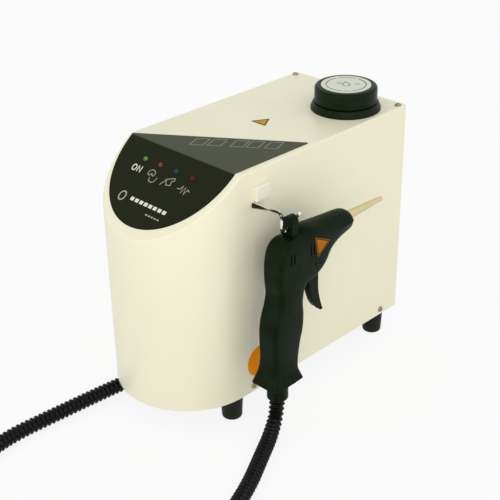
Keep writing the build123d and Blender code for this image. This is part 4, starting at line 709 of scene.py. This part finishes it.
@dataclass
class Hose:
    """The corrugated steam hose, from the outlet under the tray over the floor and up into the gun.

    The route runs from the gun to the outlet. bend_ends names two of its points and is not used.
    """

    crest: float = 9.25
    valley: float = 7.3
    pitch: float = 6.0
    plain: float = 18.5
    around: int = 28
    samples: int = 10
    lead: float = 0.12
    sharpness: float = 1.15
    bend_ends: tuple[int, int] = (4, 2)
    reference: Triple = (0.62, 0.33, 0.71)
    route: tuple[Triple, ...] = (
        (131.0, 104.5, 59.3), (131.0, 104.5, 25.3), (145.1, 78.0, 9.5), (164.0, 42.5, 9.5),
        (190.0, -5.0, 9.5), (214.0, -70.0, 9.5), (222.0, -145.0, 9.5), (198.0, -215.0, 9.5),
        (145.0, -265.0, 9.5), (75.0, -285.0, 9.5), (5.0, -265.0, 9.5), (-48.0, -215.0, 9.5),
        (-72.0, -145.0, 9.5), (-66.0, -60.0, 9.5), (-58.0, 30.0, 9.5), (-48.0, 97.0, 9.5),
        (-40.0, 160.0, 13.0), (-40.0, 207.0, 13.0),
    )

    def centre_line(self) -> Points:
        """The route's smooth line, read from a NURBS curve that has the route's points as its controls.

        Returns:
            Points in the row frame, in metres, in the order from the outlet to the gun.
        """
        curve = bpy.data.curves.new("hose route", "CURVE")
        curve.dimensions, curve.resolution_u = "3D", 24
        spline = curve.splines.new("NURBS")
        controls = placed(self.route[::-1])
        spline.points.add(len(controls) - 1)
        spline.points.foreach_set("co", np.column_stack([controls, np.ones(len(controls))]).ravel())
        spline.order_u = 3
        spline.use_endpoint_u = True
        holder = bpy.data.objects.new("hose route", curve)
        bpy.context.collection.objects.link(holder)
        bpy.context.view_layer.update()
        mesh = bpy.data.meshes.new_from_object(holder.evaluated_get(bpy.context.evaluated_depsgraph_get()))
        line = np.empty(len(mesh.vertices) * 3)
        mesh.vertices.foreach_get("co", line)
        bpy.data.objects.remove(holder)
        bpy.data.curves.remove(curve)
        bpy.data.meshes.remove(mesh)
        return line.reshape(-1, 3)

    def build(self) -> None:
        """Carries a round ring along the line, its radius rising and falling once a pitch.

        A rib's swell is (0.5 + 0.5 cos 2 pi (ribs passed - lead)) to the power of the sharpness.
        """
        line = self.centre_line()
        along = np.concatenate([[0.0], np.cumsum(np.linalg.norm(np.diff(line, axis=0), axis=1))])
        length = along[-1]
        ribbed = length / MM - 2 * self.plain
        ribs = round(ribbed / self.pitch)
        phase = np.arange(ribs * self.samples + 1) / self.samples
        stations = np.concatenate([[0.0], self.plain + phase * ribbed / ribs, [length / MM]])
        wave = np.concatenate([[0.0], phase, [ribs]])
        swell = (0.5 + 0.5 * np.cos(2 * np.pi * (wave - self.lead))) ** self.sharpness
        swell[[0, 1, -2, -1]] = 1.0
        radius = (self.valley + (self.crest - self.valley) * swell) * MM
        centre = np.stack([np.interp(stations * MM, along, line[:, axis]) for axis in range(3)], 1)
        slope = unit(np.stack([np.interp(stations * MM, along, np.gradient(line[:, axis], along))
                               for axis in range(3)], 1))
        steady = np.array(self.reference)
        side = unit(steady - (slope @ steady)[:, None] * slope)
        up = np.cross(slope, side)
        rings = centre[:, None] + radius[:, None, None] * circles(side, up, self.around)
        hose = skin("hose", rings, Make.HOSE)
        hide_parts("hose_rise", "hose_floor")
        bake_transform(hose)
        LOG.info("hose: %d ribs, %.3f m", ribs, length)


# ---- the gun ----


@dataclass
class Gun:
    """The steam gun's two shells as one moulded form, with its slots and its butt flare.

    Places here are (forwards, up) from the middle of the gun's hanging eye.
    """

    eye: Triple = (131.0, 125.5, 257.3)
    crown: float = 0.7
    corner_share: float = 0.94
    arc_points: int = 7
    side_points: int = 5
    rows: int = 150
    sharp_angle: float = 32.0
    spine: Pairs = (
        (-45.5, -190.0), (-43.6, -184.0), (-41.2, -177.0), (-39.3, -169.0), (-38.2, -158.0), (-38.7, -142.0),
        (-39.0, -121.0), (-36.5, -105.5), (-31.5, -92.0), (-28.4, -78.0), (-29.6, -66.0), (-30.4, -53.0),
        (-29.8, -37.5), (-26.0, -22.8), (-19.0, -15.2), (-11.0, -12.4), (0.0, -12.2), (6.0, -11.6),
        (9.0, -9.8), (14.0, -7.4), (22.0, -6.8), (36.0, -8.0), (58.0, -9.5), (80.0, -11.2),
        (88.8, -13.6), (91.6, -18.0),
    )
    belly: Pairs = (
        (3.5, -190.0), (1.6, -184.0), (-0.1, -177.0), (0.6, -169.0), (2.4, -158.0), (5.4, -142.0),
        (9.2, -128.0), (10.2, -111.0), (9.0, -94.0), (11.0, -81.0), (14.5, -75.0), (19.5, -72.0),
        (25.5, -71.0), (31.5, -70.3), (37.0, -67.6), (42.5, -64.2), (47.0, -60.6), (50.5, -57.0),
        (53.6, -52.8), (57.0, -49.0), (61.5, -46.0), (67.5, -43.4), (75.0, -41.2), (84.0, -39.2),
        (91.6, -36.8), (94.4, -30.5),
    )
    widths: tuple[float, ...] = (20.0, 18.3, 16.5, 15.6, *[15.0] * 16, 14.8, 14.5, 14.2, 13.8, 13.0, 11.4)
    back_rounds: tuple[float, ...] = (4.5, 5.0, 5.6, 6.0, *[6.2] * 9, 6.4, 7.0, 8.0, 9.5, 10.5, 11.5,
                                      12.5, 13.2, 13.6, 13.6, 12.8, 11.6, 9.8)
    front_rounds: tuple[float, ...] = (4.5, 5.0, 5.6, 6.0, *[6.2] * 9, 6.4, 6.8, 7.2, 8.0, 8.8, 9.4,
                                       10.0, 10.5, 11.0, 11.4, 11.4, 10.8, 9.6)
    slots: Pairs = ((-14.0, -34.0), (-9.0, -34.0), (17.5, -33.5), (22.5, -33.5))
    slot_size: tuple[float, float] = (2.3, 15.0)
    holes: Pairs = ((25.8, -53.5), (33.0, -55.0))
    hole_radius: float = 1.5
    cut_depths: tuple[float, float] = (12.8, 18.0)
    throat: Pairs = ((20.5, -82.0), (46.5, -82.0), (46.5, -55.0), (20.5, -55.0))
    throat_half: float = 4.9

    def at(self, across: Points, forwards: Points, up: Points) -> Points:
        """Points of the gun in the row frame."""
        return placed(np.stack(np.broadcast_arrays(across, forwards, up), -1) + np.array(self.eye))

    def rounded(self, length: Points, half: Points, front: Points, back: Points) -> Points:
        """Rounded rectangles with slightly crowned sides, one a row.

        A row's outline runs through four quarter circles, of the front radius at its belly and of the back
        radius at its spine. Each side between them is raised by the crown times one less the square of the
        place along it.

        Args:
            length: the rectangles' half lengths.
            half: their half thicknesses.
            front: the corner radii at the belly.
            back: the corner radii at the spine.

        Returns:
            An array of rows x points x 2 with (along, across).
        """
        length, half = length[:, None], half[:, None]
        most = np.minimum(length, half) * self.corner_share
        front, back = (np.minimum(radius[:, None], most) for radius in (front, back))
        quarter = np.linspace(0, np.pi / 2, self.arc_points)
        share = np.linspace(0, 1, self.side_points + 2)[1:-1]
        parts = []
        for number, (sign_a, sign_b) in enumerate(((1, 1), (-1, 1), (-1, -1), (1, -1))):
            angle, radius = quarter + number * np.pi / 2, (front if sign_a > 0 else back)
            parts.append(np.stack([sign_a * (length - radius) + radius * np.cos(angle),
                                   sign_b * (half - radius) + radius * np.sin(angle)], -1))
            if number % 2 == 0:
                run = share if number == 0 else 1 - share
                reach = (length - front) * (1 - run) - (length - back) * run
                bulge = self.crown * (1 - (1 - 2 * share) ** 2)
                parts.append(np.stack([reach, sign_b * (half + bulge)], -1))
        return np.concatenate(parts, axis=1)

    def cutter(self, outline: Points, low: float, high: float) -> bpy.types.Object:
        """A straight-sided block that cuts through the gun between two distances from its middle plane."""
        ring = [self.at(np.full(len(outline), depth), outline[:, 0], outline[:, 1]) for depth in (low, high)]
        return skin("cutter", np.stack(ring), Make.SLOT, smooth=False)

    def cutters(self) -> list[bpy.types.Object]:
        """The blocks that cut the slots and holes on both sides and the trigger's throat."""
        wide, tall = self.slot_size
        outlines = [ellipse(*spot, wide / 2, tall / 2, 16) for spot in self.slots]
        outlines += [ellipse(*spot, self.hole_radius, self.hole_radius, 14) for spot in self.holes]
        near, far = self.cut_depths
        blocks = [self.cutter(outline, low, high)
                  for outline in outlines for low, high in ((near, far), (-far, -near))]
        return blocks + [self.cutter(np.array(self.throat), -self.throat_half, self.throat_half)]

    def build(self) -> None:
        """Carries a rounded section from the butt up the grip and along the barrel, then cuts the slots."""
        spots = np.linspace(0, len(self.spine) - 1, self.rows)
        back, front = through(np.array(self.spine), spots), through(np.array(self.belly), spots)
        half, front_round, back_round = (through(np.array(keys)[:, None], spots)[:, 0]
                                         for keys in (self.widths, self.front_rounds, self.back_rounds))
        along, middle = (front - back) / 2, (front + back) / 2
        length = np.linalg.norm(along, axis=1)
        section = self.rounded(length, half - self.crown, front_round, back_round)
        flat = middle[:, None] + section[..., :1] * (along / length[:, None])[:, None]
        rings = self.at(section[..., 1], flat[..., 0], flat[..., 1])
        gun = skin("gun_body", rings, Make.GUN)
        cutters = self.cutters()
        gun.data.materials.append(Make.SLOT.material())
        for number, block in enumerate(cutters):
            cut = gun.modifiers.new(f"cut_{number}", "BOOLEAN")
            cut.operation, cut.object, cut.solver = "DIFFERENCE", block, "EXACT"
        bpy.context.view_layer.update()
        shaped = bpy.data.meshes.new_from_object(gun.evaluated_get(bpy.context.evaluated_depsgraph_get()))
        gun.modifiers.clear()
        shaped.set_sharp_from_angle(angle=math.radians(self.sharp_angle))
        gun.data = shaped
        for block in cutters:
            bpy.data.objects.remove(block)
        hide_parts("gun_shell_left", "gun_shell_right")
        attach(gun, "gun")
        LOG.info("gun: %d faces", len(shaped.polygons))


# ---- the trigger's spring ----


@dataclass
class Spring:
    """The trigger's return spring: one wire wound from the trigger's arm up to its seat.

    The field kept is not used.
    """

    middle: tuple[float, float] = (131.0, 143.5)
    low: float = 201.7
    high: float = 213.4
    radius: float = 2.6
    wire: float = 0.4
    coils: int = 6
    steps: int = 20
    around: int = 8
    kept: float = 0.72

    def build(self) -> None:
        """Carries a small ring along a helix, (radius cos t, radius sin t, an even rise)."""
        turn = np.linspace(0, 2 * np.pi * self.coils, self.coils * self.steps + 1)
        outward = np.stack([np.cos(turn), np.sin(turn), 0 * turn], 1)
        height = np.linspace(self.low, self.high, len(turn))
        centre = np.column_stack([np.array(self.middle) + self.radius * outward[:, :2], height])
        across = np.cross(unit(np.gradient(centre, axis=0)), outward)
        ring = circles(outward, across, self.around)
        coil = skin("trigger_spring_coil", placed(centre[:, None] + self.wire * ring), Make.STEEL)
        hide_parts("trigger_spring")
        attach(coil, "gun")
        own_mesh(coil)
        LOG.info("spring wound")


# ---- the printed panel ----


@dataclass(frozen=True)
class Stroke:
    """One line of a sign, through points that are (x, distance down the slope)."""

    name: str
    path: Pairs
    width: float = 0.9
    make: Make = Make.FAINT
    closed: bool = False


@dataclass(frozen=True)
class DashRow:
    """A row of equal dashes across the slope."""

    name: str
    count: int
    start: float
    step: float
    reach: float
    down: float
    width: float
    make: Make


@dataclass
class Panel:
    """The print on the panel film and on the flat triangle behind it.

    The bars on the triangle lean: each is bar_lean further back along the row at its far side.
    """

    bend: float = 93.0
    drop: float = 68.5
    top: float = 312.3
    lift: float = 0.40
    ink: float = 0.10
    signs: tuple[Stroke, ...] = (
        Stroke("word_on_n", ((-43.2, 40.8), (-43.4, 33.4), (-38.2, 40.4), (-38.4, 33.0)), 1.35, Make.PRINT),
        Stroke("sign_tap", ((-25.8, 34.2), (-22.6, 31.6), (-18.6, 32.0), (-15.6, 34.4), (-16.2, 38.6),
                            (-19.2, 38.0), (-20.4, 36.0), (-22.4, 39.4), (-25.6, 38.4)), closed=True),
        Stroke("sign_vessel", ((-19.8, 41.2), (-18.4, 45.6), (-13.2, 46.2), (-11.0, 44.6), (-9.4, 38.6))),
        Stroke("sign_gun", ((3.2, 36.0), (13.8, 31.2), (15.4, 34.0), (12.2, 36.2), (13.6, 41.0),
                            (7.4, 42.2), (5.4, 38.2)), closed=True),
        Stroke("sign_gun_hose", ((4.0, 37.0), (1.6, 40.4), (-0.6, 44.6))),
        Stroke("sign_heat", ((24.6, 40.6), (28.6, 40.2), (30.8, 35.4), (32.6, 44.4), (35.2, 36.0),
                             (37.4, 44.6), (39.6, 37.6), (43.2, 39.4)), 1.0),
    )
    rows: tuple[DashRow, ...] = (
        DashRow("dash", 8, -24.5, 7.5, 5.2, 71.8, 4.4, Make.PRINT),
        DashRow("fine_dash", 5, 9.0, 4.6, 3.2, 82.2, 1.7, Make.FAINT),
    )
    bar_along: tuple[float, float] = (0.815, 0.579)
    bar_corner: tuple[float, float] = (-24.4, 132.7)
    bars: Pairs = ((4.0, 15.0), (24.0, 15.0), (50.0, 14.0), (68.0, 14.0), (89.0, 14.0))
    bar_inset: float = 4.4
    bar_height: float = 18.5
    bar_lean: float = 5.0

    def on_slope(self, flat: Points) -> Points:
        """Takes (x, distance down the slope, height) to the row frame."""
        tilt = math.atan2(self.drop, self.bend)
        across, down, high = flat[..., 0], flat[..., 1], flat[..., 2]
        return placed(np.stack([across, self.bend - down * math.cos(tilt) - high * math.sin(tilt),
                                self.top - down * math.sin(tilt) + high * math.cos(tilt)], -1))

    def on_top(self, flat: Points) -> Points:
        """Takes (x, y, height) on the flat top to the row frame."""
        return placed(np.stack([flat[..., 0], flat[..., 1], self.top + flat[..., 2]], -1))

    def line(self, name: str, where: Callable[[Points], Points], path: Points, width: float, make: Make,
             closed: bool = False) -> None:
        """Prints one line.

        Args:
            name: the piece's name.
            where: on_slope or on_top, which takes its points to the row frame.
            path: its points, on the slope or on the top.
            width: how wide it is.
            make: its finish.
            closed: whether it comes back to its start.
        """
        points, faces = strip(path, width, self.lift, self.lift + self.ink, closed)
        if where == self.on_slope:
            faces = faces[:, ::-1]
        piece = make_piece(name, where(points), faces, make, smooth=False)
        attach(piece, "root")

    def build(self) -> None:
        """Prints the word ON, three small signs, and plain lines and bars."""
        slope = self.on_slope
        self.line("word_on_o", slope, ellipse(-49.2, 37.0, 2.9, 3.6, 26), 1.4, Make.PRINT, True)
        for stroke in self.signs:
            self.line(stroke.name, slope, np.array(stroke.path), stroke.width, stroke.make, stroke.closed)
        self.line("ring", slope, ellipse(-38.0, 73.0, 4.6, 5.6, 24), 1.7, Make.FAINT, True)
        for row in self.rows:
            for number in range(row.count):
                x = row.start + row.step * number
                path = np.array([(x, row.down), (x + row.reach, row.down)])
                self.line(f"{row.name}_{number}", slope, path, row.width, row.make)
        along = unit(np.array(self.bar_along))
        down = np.array([along[1], -along[0]])
        for number, (start, reach) in enumerate(self.bars):
            corner = np.array(self.bar_corner) + along * start + down * self.bar_inset
            box = np.array([corner, corner + along * reach,
                            corner + along * (reach - self.bar_lean) + down * self.bar_height,
                            corner - along * self.bar_lean + down * self.bar_height])
            self.line(f"bar_{number}", self.on_top, box, 0.9, Make.OUTLINE, True)
        LOG.info("panel printed")


# ---- the cap's disc ----


@dataclass
class CapDisc:
    """Print on the disc of the filler cap: a ring of dashes round a plain drop."""

    centre: tuple[float, float] = (41.3, 320.5)
    top: float = 341.6
    sunk: float = -0.02
    ink: float = 0.08
    ring: float = 24.0
    arcs: Pairs = (
        (28, 64), (100, 52), (160, 70), (236, 18), (258, 40), (302, 18), (324, 60),
    )
    drop: Pairs = (
        (0.0, 8.0), (2.6, 3.6), (4.4, -0.4), (3.9, -3.6), (2.1, -5.5), (0.0, -6.0),
        (-2.1, -5.5), (-3.9, -3.6), (-4.4, -0.4), (-2.6, 3.6),
    )
    drop_turn: float = 45.0
    dashes: Pairs = ((-12.0, -2.5), (-10.0, -6.0), (6.0, 9.0), (9.0, 5.5))
    dash_run: tuple[float, float] = (5.0, 3.2)

    def line(self, name: str, path: Points, width: float, closed: bool = False) -> None:
        """Prints one line on the disc, given from its middle."""
        points, faces = strip(path, width, self.sunk, self.ink, closed)
        spots = placed(points + np.array([*self.centre, self.top]))
        piece = make_piece(name, spots, faces, Make.INK, smooth=False)
        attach(piece, "cap")

    def build(self) -> None:
        """Prints the ring, the drop and four dashes beside it."""
        for number, (start, turn) in enumerate(self.arcs):
            arc = ellipse(0, 0, self.ring, self.ring, 12, 0.0, start, turn)
            self.line(f"disc_arc_{number}", arc, 1.5)
        turn = np.radians(self.drop_turn)
        turned = np.array(self.drop) @ np.array([[np.cos(turn), np.sin(turn)], [-np.sin(turn), np.cos(turn)]])
        self.line("disc_drop", turned, 1.3, True)
        across, up = self.dash_run
        for number, (x, y) in enumerate(self.dashes):
            self.line(f"disc_dash_{number}", np.array([(x, y), (x + across, y + up)]), 1.0)
        LOG.info("cap disc printed")


# ---- the triangles' borders ----


@dataclass
class Borders:
    """A brown line inside the edge of the gold triangle on the top and of the amber one on the gun."""

    width: float = 1.1
    share: float = 0.84
    low: float = 0.28
    high: float = 0.36
    top: Triple = (0.0, 218.0, 312.3)
    top_radius: float = 13.57
    gun_face: Triple = (146.0, 125.5, 257.3)
    gun_corners: Pairs = ((23.3, -19.4), (48.0, -31.5), (28.6, -45.5))

    def line(self, corners: Points) -> tuple[Points, Points]:
        """A raised line along a triangle that is drawn in towards its middle by the share."""
        middle = corners.mean(0)
        return strip(middle + (corners - middle) * self.share, self.width, self.low, self.high, True)

    def build(self) -> None:
        """Makes both lines."""
        angle = np.radians([90.0, 210.0, 330.0])
        points, faces = self.line(self.top_radius * np.column_stack([np.cos(angle), np.sin(angle)]))
        flat = placed(points + np.array(self.top))
        piece = make_piece("top_mark_border", flat, faces, Make.BORDER, smooth=False)
        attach(piece, "root")
        points, faces = self.line(np.array(self.gun_corners))
        turned = points[:, [2, 0, 1]] + np.array(self.gun_face)
        piece = make_piece("gun_mark_border", placed(turned), faces, Make.BORDER, smooth=False)
        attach(piece, "gun")
        LOG.info("triangle borders made")


# ---- the frame's own pieces ----


@dataclass
class Machine:
    """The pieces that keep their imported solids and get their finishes."""

    finishes: tuple[tuple[Make, tuple[str, ...]], ...] = (
        (Make.CASING, ("casing_cover",)),
        (Make.REAR, ("rear_panel",)),
        (Make.ZINC, ("base_tray", "tank_shelf", "boiler_stand")),
        (Make.SCREW, ("cover_top_screws", "cover_side_screws", "foot_screws", "element_bolts",
                      "gun_screws")),
        (Make.FILM, ("display_film",)),
        (Make.GREEN_LAMP, ("led_power",)),
        (Make.RED_LAMP, ("led_water",)),
        (Make.BLUE_LAMP, ("led_steam",)),
        (Make.DARK_LAMP, ("led_heating",)),
        (Make.CIRCUIT, ("display_board", "control_board")),
        (Make.ORANGE, ("side_disc",)),
        (Make.GOLD, ("top_mark",)),
        (Make.AMBER, ("gun_mark",)),
        (Make.CAP, ("filler_cap", "filler_collar")),
        (Make.DISC, ("cap_label",)),
        (Make.RUBBER, ("foot_front_left", "foot_front_right", "foot_rear_left", "foot_rear_right",
                       "cap_gasket")),
        (Make.MILKY, ("water_tank", "suction_hose")),
        (Make.BLACK, ("pump", "pressure_switch", "valve_coil", "switch_frame", "switch_rocker",
                      "power_inlet", "gun_switch")),
        (Make.STEEL, ("boiler_shell", "heating_element", "trigger_pin", "trigger_spring")),
        (Make.BRASS, ("element_flange", "safety_valve", "steam_valve", "outlet_elbow")),
        (Make.COPPER, ("feed_pipe", "steam_pipe", "gun_tube")),
        (Make.FIBRE, ("boiler_jacket",)),
        (Make.CHROME, ("gun_hook",)),
        (Make.CREAM, ("hook_block", "switch_plunger")),
        (Make.GUN, ("gun_shell_left", "gun_shell_right", "hanging_eye", "trigger", "gun_ferrule")),
        (Make.NOZZLE, ("nozzle",)),
        (Make.HOSE, ("hose_rise", "hose_floor")),
    )

    def build(self) -> None:
        """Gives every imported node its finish."""
        count = 0
        for make, nodes in self.finishes:
            for node in nodes:
                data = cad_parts[node].data
                data.materials.clear()
                data.materials.append(make.material())
                count += 1
        LOG.info("%d nodes dressed", count)


def main() -> None:
    """Builds the studio, then the object's pieces."""
    logging.basicConfig(level=logging.INFO, format="%(name)s: %(message)s")
    for part in (Studio(), Hose(), Machine(), Gun(), Spring(), Panel(), CapDisc(), Borders()):
        part.build()


if __name__ == "__main__":
    main()
